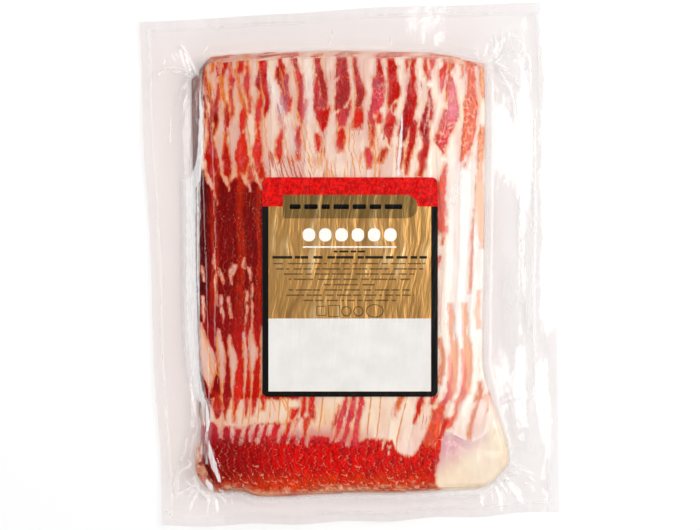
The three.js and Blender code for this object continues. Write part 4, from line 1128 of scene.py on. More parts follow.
# creases: from (u, v) to (u, v), height in mm, half width in mm, sway
CREASES = [
    # upper left corner of the food
    (190, 76, 182, 44, 0.9, 0.8, 1.0), (190, 76, 158, 68, 0.9, 0.8, -1.0), (191, 78, 168, 40, 0.6, 0.7, 1.5), (190, 80, 160, 92, 0.6, 0.8, 1.0),
    (196, 70, 205, 40, 0.5, 0.9, -1.0), (190, 84, 172, 118, 0.5, 0.8, 0.6),
    # upper right corner
    (486, 64, 505, 34, 0.6, 0.8, 0.8), (487, 66, 520, 60, 0.5, 0.9, 1.0), (486, 66, 512, 88, 0.5, 0.8, -1.0), (480, 62, 470, 36, 0.4, 0.8, 0.6),
    # lower left corner
    (196, 478, 168, 500, 0.9, 0.8, 1.0), (202, 488, 190, 516, 0.9, 0.8, -0.8), (212, 494, 214, 520, 0.7, 0.7, 0.8), (194, 466, 166, 470, 0.7, 0.8, 0.6),
    (198, 484, 176, 512, 0.7, 0.7, 1.2), (228, 495, 236, 520, 0.5, 0.8, -0.8),
    # lower right corner
    (508, 466, 536, 478, 0.8, 0.8, 0.8), (503, 474, 522, 504, 0.8, 0.8, -0.8), (494, 484, 500, 514, 0.8, 0.7, 0.8), (509, 458, 540, 448, 0.6, 0.8, 1.0),
    (480, 489, 478, 514, 0.5, 0.8, 0.8), (500, 480, 512, 500, 0.6, 0.6, -0.6),
    # along the sides
    (498, 404, 528, 396, 0.4, 0.9, 1.0), (504, 430, 532, 424, 0.45, 0.9, -1.0), (188, 130, 160, 134, 0.35, 0.9, 1.0), (188, 240, 164, 236, 0.3, 0.9, 1.0),
    (190, 330, 166, 336, 0.35, 0.9, -1.0), (192, 380, 166, 376, 0.4, 0.8, 1.0), (194, 430, 166, 436, 0.6, 0.8, 1.0), (192, 448, 168, 456, 0.6, 0.7, 0.8),
    (300, 494, 304, 514, 0.3, 0.9, 1.0), (350, 495, 346, 512, 0.3, 0.9, 1.0), (412, 494, 414, 512, 0.3, 0.9, -1.0), (262, 497, 256, 516, 0.4, 0.9, 1.0),
]
WALL_CREASES = [
    # long folds in the film that leans on the left wall
    (186, 120, 187, 330, 0.35, 0.55, 1.5), (191, 150, 190, 400, 0.40, 0.5, -1.2), (196, 90, 198, 300, 0.30, 0.5, 0.8), (200, 170, 201, 240, 0.30, 0.4, 0.5),
    (203, 290, 204, 400, 0.30, 0.5, 1.0), (207, 380, 210, 440, 0.45, 0.5, -1.0), (197, 400, 209, 470, 0.5, 0.6, 1.2), (189, 390, 195, 450, 0.5, 0.6, 1.0),
    (210, 446, 222, 482, 0.5, 0.9, 1.0), (474, 168, 472, 240, 0.30, 0.45, 0.6), (471, 240, 470, 305, 0.25, 0.45, 0.4),
]


def crease_field(items):
    out = np.zeros(XX.shape)
    for n, (u0, v0, u1, v1, height, width, sway) in enumerate(items):
        x0, y0, x1, y1 = gx(u0), gy(v0), gx(u1), gy(v1)
        dx, dy = x1 - x0, y1 - y0
        ln = math.hypot(dx, dy)
        tx, ty = dx / ln, dy / ln
        pad = width * 4 + abs(sway) * 2 + 2
        sel = ((XX > min(x0, x1) - pad) & (XX < max(x0, x1) + pad) & (YY > min(y0, y1) - pad) & (YY < max(y0, y1) + pad))
        X = XX[sel] - x0
        Y = YY[sel] - y0
        t = (X * tx + Y * ty) / ln
        d = -X * ty + Y * tx
        d = d - sway * np.sin(math.pi * clip01(t)) - 0.25 * vnoise(t * ln / 4.0, t * 0 + n, 201)
        grow = np.where(t < 0, smooth(-0.15, 0.0, t), (1 - clip01(t)) ** 0.7)
        w = width * (1 + 0.8 * clip01(t))
        val = height * grow * (np.exp(-((d / w) ** 2)) - 0.45 * np.exp(-(((d - 1.7 * w) / (1.3 * w)) ** 2)) - 0.35 * np.exp(-(((d + 1.7 * w) / (1.3 * w)) ** 2)))
        out[sel] += val
    return out


def outside_distance(x, y):
    dl = np.minimum(x - food_left(y), 0)
    dr = np.minimum(food_right(y) - x, 0)
    dt = np.minimum(food_top(x) - y, 0)
    db = np.minimum(y - food_bottom(x), 0)
    return np.sqrt(dl ** 2 + dr ** 2 + dt ** 2 + db ** 2)


def bilinear(field, x, y):
    fx = (x - GX[0]) / 0.5
    fy = (y - GY[0]) / 0.5
    ix = np.clip(np.floor(fx).astype(int), 0, len(GX) - 2)
    iy = np.clip(np.floor(fy).astype(int), 0, len(GY) - 2)
    tx = np.clip(fx - ix, 0, 1)
    ty = np.clip(fy - iy, 0, 1)
    return ((field[iy, ix] * (1 - tx) + field[iy, ix + 1] * tx) * (1 - ty)
            + (field[iy + 1, ix] * (1 - tx) + field[iy + 1, ix + 1] * tx) * ty)


def neighbours_max(a):
    p = np.pad(a, 1, mode="edge")
    m = a
    for i in range(3):
        for j in range(3):
            m = np.maximum(m, p[i:i + a.shape[0], j:j + a.shape[1]])
    return m


def avg4(z):
    p = np.pad(z, 1, mode="edge")
    return 0.25 * (p[:-2, 1:-1] + p[2:, 1:-1] + p[1:-1, :-2] + p[1:-1, 2:])


OUT = outside_distance(XX, YY)
FOOD = food_height(UU, VV)
RADIAL = crease_field(CREASES)
ripple = 0.09 * np.sin(XX / 2.1 + 1.5 * fbm(XX / 40, YY / 60, 211, 2) + 0.25 * np.sin(YY / 25)) * smooth(78, 88, XX)
fine = 0.10 * fbm(XX / 7, YY / 7, 213, 3) + 0.22 * fbm(XX / 26, YY / 26, 215, 2)
seal = 0.14 * bump(XX - pouch_left(YY), 6.0, 0.7)
BORDER = border_top(XX, YY) - 0.45 + (RADIAL * smooth(0.2, 3.0, OUT) + ripple + fine) * smooth(1.0, 9.0, OUT + 4) + seal
BOTTOM = mix(0.03, BORDER, 1 - np.exp(-OUT / 3.2))
BOTTOM = np.where(OUT <= 0, 0.03, BOTTOM)
floor_z = np.where(FOOD > 0.05, FOOD, 0.0)
obstacle = np.maximum(neighbours_max(floor_z) + 0.16, np.where(OUT > 0, BORDER + 0.10, 0.2))
film = obstacle + 1.5
INSIDE = np.minimum(np.minimum(XX - food_left(YY) - 5, food_right(YY) - XX - 1), np.minimum(food_top(XX) - YY - 4, YY - food_bottom(XX) - 2))
PULL = mix(0.05, 0.010, smooth(-1.0, 4.0, INSIDE))
for it in range(500):
    film = np.maximum(obstacle, avg4(film) - PULL)
folds = crease_field(WALL_CREASES)
near_food = smooth(12.0, 1.0, OUT)
film = film + np.maximum(folds, 0.0) * near_food
film = film + np.maximum(RADIAL, 0) * 0.35 * smooth(4.0, 0.0, OUT)
GAP = film - (neighbours_max(floor_z) + 0.16)


def span(a, b, n):
    return np.linspace(a, b, n + 1)[1:]


def film_grid(fine=True):
    """Rows and columns stand closer where the film is folded: at the left wall and the corners."""
    k = 1.0 if fine else 0.45
    c = lambda n: max(3, int(n * k))
    mid_u = np.concatenate([[172.0], span(172, 225, c(78)), span(225, 478, c(122)), span(478, 538, c(54))])
    mid_v = np.concatenate([[502.0], span(502, 432, c(62)), span(432, 100, c(130)), span(100, 38, c(58))])
    nl, nr, nb, nt = c(11), c(10), c(9), c(11)
    U = np.concatenate([np.full(nl, 172.0), mid_u, np.full(nr, 538.0)])
    V = np.concatenate([np.full(nb, 502.0), mid_v, np.full(nt, 38.0)])
    wl = np.concatenate([np.linspace(1, 0, nl + 1)[:-1], np.zeros(len(mid_u) + nr)])
    wr = np.concatenate([np.zeros(len(mid_u) + nl), np.linspace(0, 1, nr + 1)[1:]])
    wb = np.concatenate([np.linspace(1, 0, nb + 1)[:-1], np.zeros(len(mid_v) + nt)])
    wt = np.concatenate([np.zeros(len(mid_v) + nb), np.linspace(0, 1, nt + 1)[1:]])
    X, Y = np.meshgrid(gx(U), gy(V))
    WL, WB = np.meshgrid(wl, wb)
    WR, WT = np.meshgrid(wr, wt)
    x, y = X.copy(), Y.copy()
    for it in range(14):
        y = mix(mix(Y, pouch_bottom(x), WB), pouch_top(x), WT)
        x = mix(mix(X, pouch_left(y), WL), pouch_right(y), WR)
    return x, y


# painted highlights and glare on the film, where it is folded or stands off: strength, stations (v, left, right)
PAINTED_GLARE = [
    (0.96, [(72, 197.4, 198.8), (79, 197.0, 199.6), (86, 198, 200.6), (95, 198.8, 201.2), (105, 199.6, 202.6), (115, 200.2, 203.8), (125, 199.4, 203.6), (140, 198.8, 203.4), (152, 198, 203.6), (161, 196.6, 203.2), (168, 194, 202.8), (176, 190, 202), (183, 186.6, 200.4), (188, 186, 195)]),
    (0.55, [(84, 202.6, 203.4), (96, 202.6, 204), (110, 203.8, 204.8), (124, 203.8, 204.6)]),
    (0.60, [(74, 195.4, 196.6), (84, 194.6, 196), (96, 195.4, 196.8), (108, 196.4, 197.6), (120, 196.8, 197.8)]),
    (0.98, [(180, 184.6, 195.4), (200, 185, 195.4), (220, 185.4, 195.2), (240, 185, 195.4), (260, 185.4, 195.4), (280, 185.6, 195.8), (300, 186, 196.4), (320, 186, 196.8), (340, 187, 197.8), (360, 189, 198.6), (372, 191, 199.8), (385, 194, 201.4), (395, 197.4, 204.6), (405, 200, 207.8), (415, 202, 209.8), (424, 204.2, 210.4), (430, 206, 209)]),
    (0.98, [(178, 197.6, 199), (186, 196.8, 198.8), (200, 196.6, 198.6), (214, 197.2, 199.4), (228, 196.6, 198.8), (244, 196.8, 199.2), (262, 196.4, 198.4), (280, 197, 199.2), (298, 197.4, 199.2), (310, 198, 199.2)]),
    (0.98, [(184, 202, 203.8), (194, 201, 203.4), (206, 200.4, 202.4), (220, 200.8, 202.6), (236, 200.4, 202.6), (254, 200.8, 202.7), (272, 200.6, 202.6), (290, 201, 203.2), (300, 201.4, 202.8)]),
    (0.70, [(300, 200.2, 201.6), (316, 199.8, 201.4), (330, 200.2, 201.8), (346, 200.4, 202), (360, 201, 202.6), (374, 202, 203.6)]),
    (0.84, [(441, 208.8, 210), (447, 208.6, 212), (453, 208.8, 213.8), (460, 210.0, 216), (467, 212.2, 218), (474, 215.6, 219.8), (480, 219.4, 221.4)]),
    (0.36, [(398, 199, 201.4), (408, 199.4, 202.2), (420, 198, 202), (432, 197, 201.2), (444, 195.8, 200.2), (456, 193.8, 198.8), (464, 192.6, 196)]),
    (0.46, [(424, 204.6, 208.2), (434, 204.2, 209.2), (444, 204.8, 208.8), (454, 205.2, 208.6), (462, 206.2, 209)]),
    (0.30, [(430, 199.8, 202.8), (442, 199.2, 203), (452, 198.2, 202.6), (460, 199, 203.2)]),
    (0.90, [(480, 206, 209), (483, 206, 213), (486.6, 207.6, 214), (489, 209.6, 214)]),
    (0.75, [(489.6, 219.6, 223), (492, 220, 226), (494.4, 222, 224.6)]),
    (0.80, [(490.6, 231, 234), (492.6, 229, 237), (494, 231, 235)]),
    (0.92, [(116, 401, 402.6), (128, 399.8, 402.4), (140, 398.8, 402), (150, 397.8, 401.4), (160, 397.4, 400.6), (170, 397, 399.6), (180, 397, 399)]),
    (0.62, [(66, 267, 268.4), (74, 267.2, 271), (82, 268.4, 273.2), (90, 270.2, 275.6), (98, 274, 278.4), (106, 278, 281.4), (114, 281, 284.4), (122, 284.4, 287), (132, 288, 290), (142, 292, 293.6), (152, 296.4, 297.4), (160, 301, 301.8)]),
    (0.50, [(150, 467, 469.4), (160, 463.4, 468.6), (170, 459, 466), (180, 455, 463.4), (190, 451, 461), (200, 448.6, 457.4), (207, 448.6, 452)]),
    (0.80, [(168, 474, 475.6), (185, 473.6, 475.2), (210, 473.4, 475), (240, 473.2, 474.8), (270, 473.4, 474.6), (302, 473, 474)]),
    (0.70, [(320, 438.4, 440), (330, 438.6, 440.8), (342, 438.8, 440.8), (352, 439, 440)]),
    (0.70, [(320, 452.6, 454), (330, 452.8, 455), (342, 453, 455), (352, 453.4, 454.4)]),
    (0.70, [(320, 465.6, 467), (330, 465.8, 468.4), (342, 466, 468.4), (352, 466.6, 468)]),
]
PAINTED_SOFT_LIGHT = [
    # painted soft light along the wall and over the right side: strength, softness, stations
    (0.55, 2.5, [(178, 181, 194), (240, 181.6, 195), (300, 182, 196), (345, 183, 197), (380, 188, 200), (400, 194, 204)]),
    (0.45, 1.0, [(182, 196, 200.6), (240, 196, 200.8), (300, 196.4, 201.6), (372, 199.4, 203.2)]),
    (0.14, 3.0, [(402, 198, 213), (425, 197, 212), (440, 196, 210), (452, 196, 208)]),
    (0.16, 9.0, [(160, 446, 486), (300, 440, 488), (400, 446, 492), (480, 470, 500)]),
    (0.20, 5.0, [(165, 450, 478), (200, 444, 476), (240, 446, 476), (300, 450, 480), (330, 452, 476)]),
    (0.30, 4.0, [(84, 268, 276), (104, 272, 284), (124, 280, 290), (150, 290, 298)]),
    (0.26, 3.0, [(62, 306, 312), (80, 304, 314), (104, 304, 312), (120, 304, 312)]),
    (0.34, 5.0, [(34, 503, 516), (44, 504, 524), (54, 509, 522)]),
    (0.34, 3.0, [(70, 527, 531), (110, 522, 528), (160, 521, 529), (220, 524, 532), (300, 526, 534), (330, 527, 532)]),
    (0.24, 4.0, [(260, 506, 515), (300, 504, 522), (360, 506, 528), (420, 512, 532), (450, 518, 534)]),
]


def signed_shapes(items, U, V, soft):
    out = np.full(U.shape, -9.0)
    amt = np.zeros(U.shape)
    wu = 0.45 * fbm(U / 2.6, V / 6.0, 231, 2)
    for item in items:
        st = item[-1]
        lo = min(q[1] for q in st) - 8
        hi = max(q[2] for q in st) + 8
        sel = (U > lo) & (U < hi) & (V > st[0][0] - 8) & (V < st[-1][0] + 8)
        d = inside_shape((U + wu)[sel], V[sel], st)
        if soft:
            amt[sel] = np.maximum(amt[sel], item[0] * smooth(-item[1], item[1], d))
        else:
            cur = out[sel]
            better = d > cur
            out[sel] = np.where(better, d, cur)
            now = amt[sel]
            amt[sel] = np.where(better, item[0], now)
    return out, amt


def film_object():
    x, y = film_grid()
    nv, nu = x.shape
    z = bilinear(film, x, y)
    gap = bilinear(GAP, x, y)
    out = outside_distance(x, y)
    crease = bilinear(np.abs(RADIAL), x, y)
    P = np.stack([x, y, z], axis=2).reshape(-1, 3)
    ob = make_mesh("film_top", P, grid_faces(nu, nv))
    U, V = to_u(x).ravel(), to_v(y).ravel()
    d, amt = signed_shapes(PAINTED_GLARE, U, V, False)
    _, painted_light_and_seal = signed_shapes(PAINTED_SOFT_LIGHT, U, V, True)
    set_float(ob, "painted_glare", clip01(0.5 + d / 4.0))
    set_float(ob, "painted_glare_amt", amt)
    # painted light: the border is paler in a ring beside the food, where the food's shadow falls, most towards the
    # right and below its left end; a pale band also runs along the seal
    xf, yf, of = x.ravel(), y.ravel(), out.ravel()
    edge = np.minimum(np.minimum(xf - pouch_left(yf), pouch_right(yf) - xf), np.minimum(pouch_top(xf) - yf, yf - pouch_bottom(xf)))
    ring = smooth(0.0, 0.6, of) * smooth(6.0, 1.0, of) * (0.16 + 0.26 * smooth(0, 70, xf) + 0.30 * smooth(-106, -112, yf) * smooth(-62, -50, xf))
    seal = 0.16 * smooth(5.0, 4.2, edge) + 0.26 * bump(edge, 4.6, 0.45)
    painted_light_and_seal = np.maximum(np.maximum(painted_light_and_seal, ring), seal)
    d, amt = fold_field(U, V)
    set_float(ob, "fold", clip01(0.5 + d / 4.0))
    set_float(ob, "fold_amt", amt)
    set_float(ob, "painted_light_and_seal", painted_light_and_seal)
    set_float(ob, "gap", clip01(gap / 1.5).ravel() * (out.ravel() <= 0))
    set_float(ob, "crease", clip01(crease).ravel())
    # the film's gloss is weaker where it clings to the ends of the last slices
    right_side = smooth(424.0, 438.0, U) * (of <= 0)
    set_float(ob, "cling", 1.0 - right_side * (0.80 * smooth(178.0, 150.0, V) + 0.50 * smooth(424.0, 446.0, V)))
    set_float(ob, "border", smooth(-1.0, 2.0, out).ravel())
    # painted light: the film's tint is paler to the right and towards the top and bottom ends
    set_float(ob, "clear", np.maximum(smooth(40.0, 84.0, xf), 0.45 * smooth(100.0, 118.0, np.abs(yf))))
    # painted glare: the film glows by emission along the left wall, in a ring beside the food's left part and along a
    # diagonal streak
    ring_glow = 0.55 * (of > 0) * smooth(7.0, 1.0, of) * smooth(-66, -56, xf)
    streak_glow = 0.55 * smooth(264, 270, U) * smooth(308, 298, U) * smooth(64, 72, V) * smooth(158, 148, V)
    ring_glow = np.maximum(ring_glow, streak_glow)
    wall_to = np.interp(V, [390, 430, 460, 484], [205.0, 213.0, 219.0, 224.0])
    set_float(ob, "glow", np.maximum(0.66 * smooth(2.0, -2.0, U - wall_to) * smooth(182.0, 186.0, U), ring_glow))
    return ob


def film_under_object():
    x, y = film_grid(False)
    nv, nu = x.shape
    z = bilinear(BOTTOM, x, y)
    P = np.stack([x, y, z], axis=2).reshape(-1, 3)
    ob = make_mesh("film_under", P, grid_faces(nu, nv, flip=True))
    # painted light: the tint is paler to the right and towards the top and bottom ends
    set_float(ob, "clear", np.maximum(smooth(40.0, 84.0, x.ravel()), 0.45 * smooth(100.0, 118.0, np.abs(y.ravel()))))
    return ob


# --------------------------------------------------------------- the label
LB = (262.9, 437.3, 177.8, 396.0)       # left, right, top, bottom in grid units
LABEL_R = 6.2


def label_object():
    zone = (XX > gx(LB[0]) - 3) & (XX < gx(LB[1]) + 3) & (YY > gy(LB[3]) - 3) & (YY < gy(LB[2]) + 3)
    rest = film + 0.10
    sheet = rest + 0.3
    for it in range(26):
        sheet = np.maximum(rest, avg4(sheet) - 0.006)
    sheet = np.maximum(rest, sheet)
    nu, nv = 176, 220
    S, T = np.meshgrid(np.linspace(0, 1, nu), np.linspace(0, 1, nv))
    U = mix(LB[0], LB[1], S)
    V = mix(LB[3], LB[2], T)
    # rounded corners: squeeze the grid's outer rings onto the outline
    hw, hh = (LB[1] - LB[0]) / 2, (LB[3] - LB[2]) / 2
    cu, cv = (LB[0] + LB[1]) / 2, (LB[2] + LB[3]) / 2
    pu, pv = U - cu, V - cv
    qx = np.maximum(np.abs(pu) - (hw - LABEL_R), 0)
    qy = np.maximum(np.abs(pv) - (hh - LABEL_R), 0)
    m = np.maximum(qx, qy)
    r = np.hypot(qx, qy)
    f = np.where(r > 1e-6, m / np.maximum(r, 1e-6), 1.0)
    U = cu + np.sign(pu) * (np.minimum(np.abs(pu), hw - LABEL_R) + qx * f)
    V = cv + np.sign(pv) * (np.minimum(np.abs(pv), hh - LABEL_R) + qy * f)
    x, y = gx(U), gy(V)
    z = bilinear(sheet, x, y)
    n = nu * nv
    P = np.stack([x, y, z + 0.11], axis=2).reshape(-1, 3)
    Q = np.stack([x, y, z], axis=2).reshape(-1, 3)
    faces = np.concatenate([grid_faces(nu, nv, 0), grid_faces(nu, nv, n, flip=True), rim_faces(nu, nv, n)])
    return make_mesh("label_sheet", np.concatenate([P, Q]), faces)


# ------------------------------------------------------------- materials
class Nodes:
    """Short ways to lay nodes in a material."""

    def __init__(self, name):
        self.mat = bpy.data.materials.new(name)
        self.mat.use_nodes = True
        self.t = self.mat.node_tree
        self.t.nodes.clear()
        self.out = self.t.nodes.new("ShaderNodeOutputMaterial")

    def add(self, kind, **props):
        n = self.t.nodes.new(kind)
        for k, v in props.items():
            setattr(n, k, v)
        return n

    def link(self, a, b):
        self.t.links.new(a, b)

    def put(self, socket, value):
        if isinstance(value, bpy.types.NodeSocket):
            self.t.links.new(value, socket)
        elif value is not None:
            if isinstance(value, (tuple, list, np.ndarray)) and len(value) == 3 and socket.type == "RGBA":
                value = (*[float(c) for c in value], 1.0)
            socket.default_value = value

    def math(self, op, a, b=None, c=None, clamp=False):
        n = self.add("ShaderNodeMath", operation=op, use_clamp=clamp)
        self.put(n.inputs[0], a)
        if b is not None:
            self.put(n.inputs[1], b)
        if c is not None:
            self.put(n.inputs[2], c)
        return n.outputs[0]

    def vmath(self, op, a, b=None):
        n = self.add("ShaderNodeVectorMath", operation=op)
        self.put(n.inputs[0], a)
        if b is not None:
            self.put(n.inputs[1], b)
        return n.outputs["Value"] if op in ("LENGTH", "DOT_PRODUCT") else n.outputs[0]

    def step(self, value, lo, hi, a=0.0, b=1.0):
        n = self.add("ShaderNodeMapRange", interpolation_type="SMOOTHSTEP")
        self.put(n.inputs["Value"], value)
        self.put(n.inputs["From Min"], lo)
        self.put(n.inputs["From Max"], hi)
        self.put(n.inputs["To Min"], a)
        self.put(n.inputs["To Max"], b)
        return n.outputs["Result"]

    def mixc(self, fac, a, b, blend="MIX"):
        n = self.add("ShaderNodeMix", data_type="RGBA", blend_type=blend)
        self.put(n.inputs[0], fac)
        self.put(n.inputs[6], a)
        self.put(n.inputs[7], b)
        return n.outputs[2]

    def attr(self, name, color=False):
        n = self.add("ShaderNodeAttribute", attribute_type="GEOMETRY", attribute_name=name)
        return n.outputs["Color"] if color else n.outputs["Fac"]

    def place(self):
        return self.add("ShaderNodeTexCoord").outputs["Object"]

    def stretch(self, vec, scale, turn=0.0):
        n = self.add("ShaderNodeMapping")
        self.put(n.inputs["Vector"], vec)
        n.inputs["Scale"].default_value = scale
        n.inputs["Rotation"].default_value = (0, 0, turn)
        return n.outputs[0]

    def noise(self, vec, scale, detail=3.0, rough=0.55, distort=0.0):
        n = self.add("ShaderNodeTexNoise")
        self.put(n.inputs["Vector"], vec)
        n.inputs["Scale"].default_value = scale
        n.inputs["Detail"].default_value = detail
        n.inputs["Roughness"].default_value = rough
        n.inputs["Distortion"].default_value = distort
        return n.outputs["Fac"]

    def bump(self, height, strength, distance):
        n = self.add("ShaderNodeBump")
        n.inputs["Strength"].default_value = strength
        n.inputs["Distance"].default_value = distance
        self.put(n.inputs["Height"], height)
        return n.outputs[0]


def meat_material():
    m = Nodes("cured_meat")
    p = m.place()
    lean = m.attr("lean")
    marble = m.attr("marble")
    coarse = m.noise(p, 620.0, 4.0, 0.62)
    feather = m.noise(m.stretch(p, (1150.0, 330.0, 500.0), 0.38), 1.0, 3.0, 0.65)
    feather2 = m.noise(m.stretch(p, (1050.0, 280.0, 500.0), -0.34), 1.0, 3.0, 0.65)
    wob = m.math("ADD", m.math("MULTIPLY", m.math("SUBTRACT", coarse, 0.5), 0.20), m.math("MULTIPLY", m.math("SUBTRACT", m.math("ADD", feather, feather2), 1.0), 0.38))
    level = m.math("ADD", lean, wob)
    mask = m.step(level, 0.36, 0.60)
    # lean: fibres along the slice, darker and lighter threads, warmer at the rims
    fibre = m.noise(m.stretch(p, (2600.0, 520.0, 1500.0), 0.12), 1.0, 4.0, 0.62)
    tone = m.step(fibre, 0.30, 0.72, 0.78, 1.18)
    patch = m.noise(m.stretch(p, (330.0, 170.0, 200.0)), 1.0, 4.0, 0.6)
    tone = m.math("MULTIPLY", tone, m.step(patch, 0.3, 0.7, 0.84, 1.14))
    lively = m.math("MULTIPLY_ADD", m.attr("quiet"), -0.75, 1.0)
    tone = m.math("MULTIPLY_ADD", m.math("SUBTRACT", tone, 1.0), lively, 1.0)
    grey = m.add("ShaderNodeCombineColor")
    for i in range(3):
        m.link(tone, grey.inputs[i])
    base_lean = m.attr("lean_rgb", True)
    rim = m.step(level, 0.52, 0.72, 1.0, 0.0)
    warm = m.mixc(0.6, base_lean, srgb(212, 62, 14))
    base_lean = m.mixc(m.math("MULTIPLY", m.math("MULTIPLY", rim, 0.80), lively), base_lean, warm)
    rosy = m.noise(m.stretch(p, (240.0, 130.0, 200.0), 0.2), 1.0, 3.0, 0.55)
    rosy_f = m.math("MULTIPLY", m.math("MULTIPLY", m.step(rosy, 0.46, 0.66, 0.0, 0.50), lively), m.math("SUBTRACT", 1.0, marble))
    base_lean = m.mixc(rosy_f, base_lean, srgb(208, 92, 96))
    lean_col = m.mixc(1.0, base_lean, grey.outputs[0], "MULTIPLY")
    fat_col = m.attr("fat_rgb", True)
    # a net of fine pale seams in the lean
    net = m.noise(m.stretch(p, (420.0, 300.0, 300.0), 0.3), 1.0, 2.0, 0.45, 0.8)
    seam = m.step(m.math("ABSOLUTE", m.math("SUBTRACT", net, 0.5)), 0.0, 0.014, 1.0, 0.0)
    gate = m.step(m.noise(p, 300.0, 2.0, 0.5), 0.46, 0.62)
    seam = m.math("MULTIPLY", m.math("MULTIPLY", seam, gate), m.math("MULTIPLY_ADD", m.attr("flecky"), 0.45, m.math("MULTIPLY_ADD", marble, -0.24, 0.40)))
    # flecks that lean across the fibres, strongest in the solid muscle
    fleck = m.noise(m.stretch(p, (1500.0, 560.0, 400.0), -0.40), 1.0, 3.0, 0.55, 0.5)
    fleck2 = m.noise(m.stretch(p, (1900.0, 520.0, 400.0), 0.42), 1.0, 2.0, 0.5, 0.4)
    f = m.math("MAXIMUM", m.step(fleck, 0.63, 0.70), m.math("MULTIPLY", m.step(fleck2, 0.65, 0.72), 0.8))
    f = m.math("MULTIPLY", f, m.math("MULTIPLY_ADD", m.attr("flecky"), 0.50, m.math("MULTIPLY_ADD", marble, -0.10, 0.20)))
    f = m.math("MAXIMUM", f, seam, clamp=True)
    lean_col = m.mixc(f, lean_col, m.mixc(m.math("MULTIPLY_ADD", m.attr("flecky"), -0.35, 0.45), fat_col, (0.62, 0.22, 0.16)))
    # a net of pale cracks in the lean of the last slices
    warp = m.add("ShaderNodeVectorMath", operation="MULTIPLY_ADD")
    haze = m.add("ShaderNodeTexNoise")
    m.put(haze.inputs["Vector"], p)
    haze.inputs["Scale"].default_value = 700.0
    haze.inputs["Detail"].default_value = 2.0
    m.link(haze.outputs["Color"], warp.inputs[0])
    warp.inputs[1].default_value = (0.0022, 0.0022, 0.0)
    m.put(warp.inputs[2], p)
    cell = m.add("ShaderNodeTexVoronoi", feature="DISTANCE_TO_EDGE")
    m.link(m.stretch(warp.outputs[0], (430.0, 270.0, 60.0), 0.25), cell.inputs["Vector"])
    cell.inputs["Scale"].default_value = 1.0
    crack = m.step(cell.outputs["Distance"], 0.11, 0.02)
    crack = m.math("MULTIPLY", m.math("MULTIPLY", crack, m.step(m.noise(p, 260.0, 2.0, 0.5), 0.40, 0.54)), m.math("MULTIPLY", m.attr("flecky"), 0.72))
    lean_col = m.mixc(crack, lean_col, srgb(250, 196, 168))
    # fat: soft clouds, faint veins and a fine grain
    cloud = m.noise(m.stretch(p, (300.0, 90.0, 120.0)), 1.0, 4.0, 0.6)
    fat_col = m.mixc(m.step(cloud, 0.44, 0.74, 0.0, 0.34), fat_col, (0.76, 0.44, 0.44))
    fat_col = m.mixc(m.step(cloud, 0.50, 0.28, 0.0, 0.40), fat_col, (0.93, 0.80, 0.72))
    vein = m.noise(m.stretch(p, (360.0, 120.0, 200.0), 0.1), 1.0, 3.0, 0.5, 1.2)
    vein = m.step(m.math("ABSOLUTE", m.math("SUBTRACT", vein, 0.5)), 0.0, 0.02, 0.10, 0.0)
    fat_col = m.mixc(vein, fat_col, (0.74, 0.34, 0.18))
    grain = m.noise(p, 1700.0, 3.0, 0.6)
    fat_col = m.mixc(m.step(grain, 0.35, 0.75, 0.0, 0.12), fat_col, (0.96, 0.86, 0.78))
    # a pink blush in the fat right beside the lean
    blush = m.step(level, 0.04, 0.48, 0.0, 0.50)
    glow = m.step(m.noise(m.stretch(p, (110.0, 60.0, 90.0)), 1.0, 2.0, 0.5), 0.44, 0.60)
    fat_col = m.mixc(blush, fat_col, m.mixc(m.math("MULTIPLY", glow, m.math("SUBTRACT", 1.0, m.math("MULTIPLY", marble, 0.7))), (0.74, 0.36, 0.33), (0.84, 0.46, 0.20)))
    # an orange rim where the lean gives way to fat
    halo = m.math("MULTIPLY", m.math("MULTIPLY", m.step(level, 0.20, 0.44), m.step(m.noise(m.stretch(p, (170.0, 70.0, 90.0)), 1.0, 2.0, 0.55), 0.36, 0.54)), m.attr("halo"))
    fat_col = m.mixc(m.math("MULTIPLY", halo, 0.85), fat_col, srgb(224, 116, 44))
    base = m.mixc(mask, fat_col, lean_col)
    # bristles of lean, thin and close together, that run into the fat
    sep = m.add("ShaderNodeSeparateXYZ")
    m.link(p, sep.inputs[0])
    across = m.math("ADD", m.attr("strand"), m.math("MULTIPLY", m.math("SUBTRACT", coarse, 0.5), 2.2))
    vec = m.add("ShaderNodeCombineXYZ")
    m.link(m.math("MULTIPLY", across, 0.62), vec.inputs[0])
    m.link(m.math("MULTIPLY", sep.outputs[1], 85.0), vec.inputs[1])
    zone = m.attr("strand_zone")
    s1 = m.noise(vec.outputs[0], 1.0, 2.0, 0.5)
    strand = m.step(m.math("ADD", s1, m.math("MULTIPLY_ADD", zone, 0.22, -0.22)), 0.46, 0.60)
    vec2 = m.add("ShaderNodeCombineXYZ")
    m.link(m.math("MULTIPLY", across, 0.34), vec2.inputs[0])
    m.link(m.math("MULTIPLY", sep.outputs[1], 40.0), vec2.inputs[1])
    vec2.inputs[2].default_value = 7.0
    s2 = m.noise(vec2.outputs[0], 1.0, 1.0, 0.5)
    warm_one = m.step(m.math("ADD", s2, m.math("MULTIPLY_ADD", m.attr("strand_warm"), 0.4, -0.7)), -0.03, 0.03)
    strand_col = m.mixc(warm_one, srgb(190, 46, 18), srgb(230, 150, 78))
    on = m.math("MULTIPLY", m.math("MULTIPLY", strand, m.step(zone, 0.0, 0.25)), m.math("MULTIPLY_ADD", mask, -0.66, 0.76))
    base = m.mixc(on, base, strand_col)
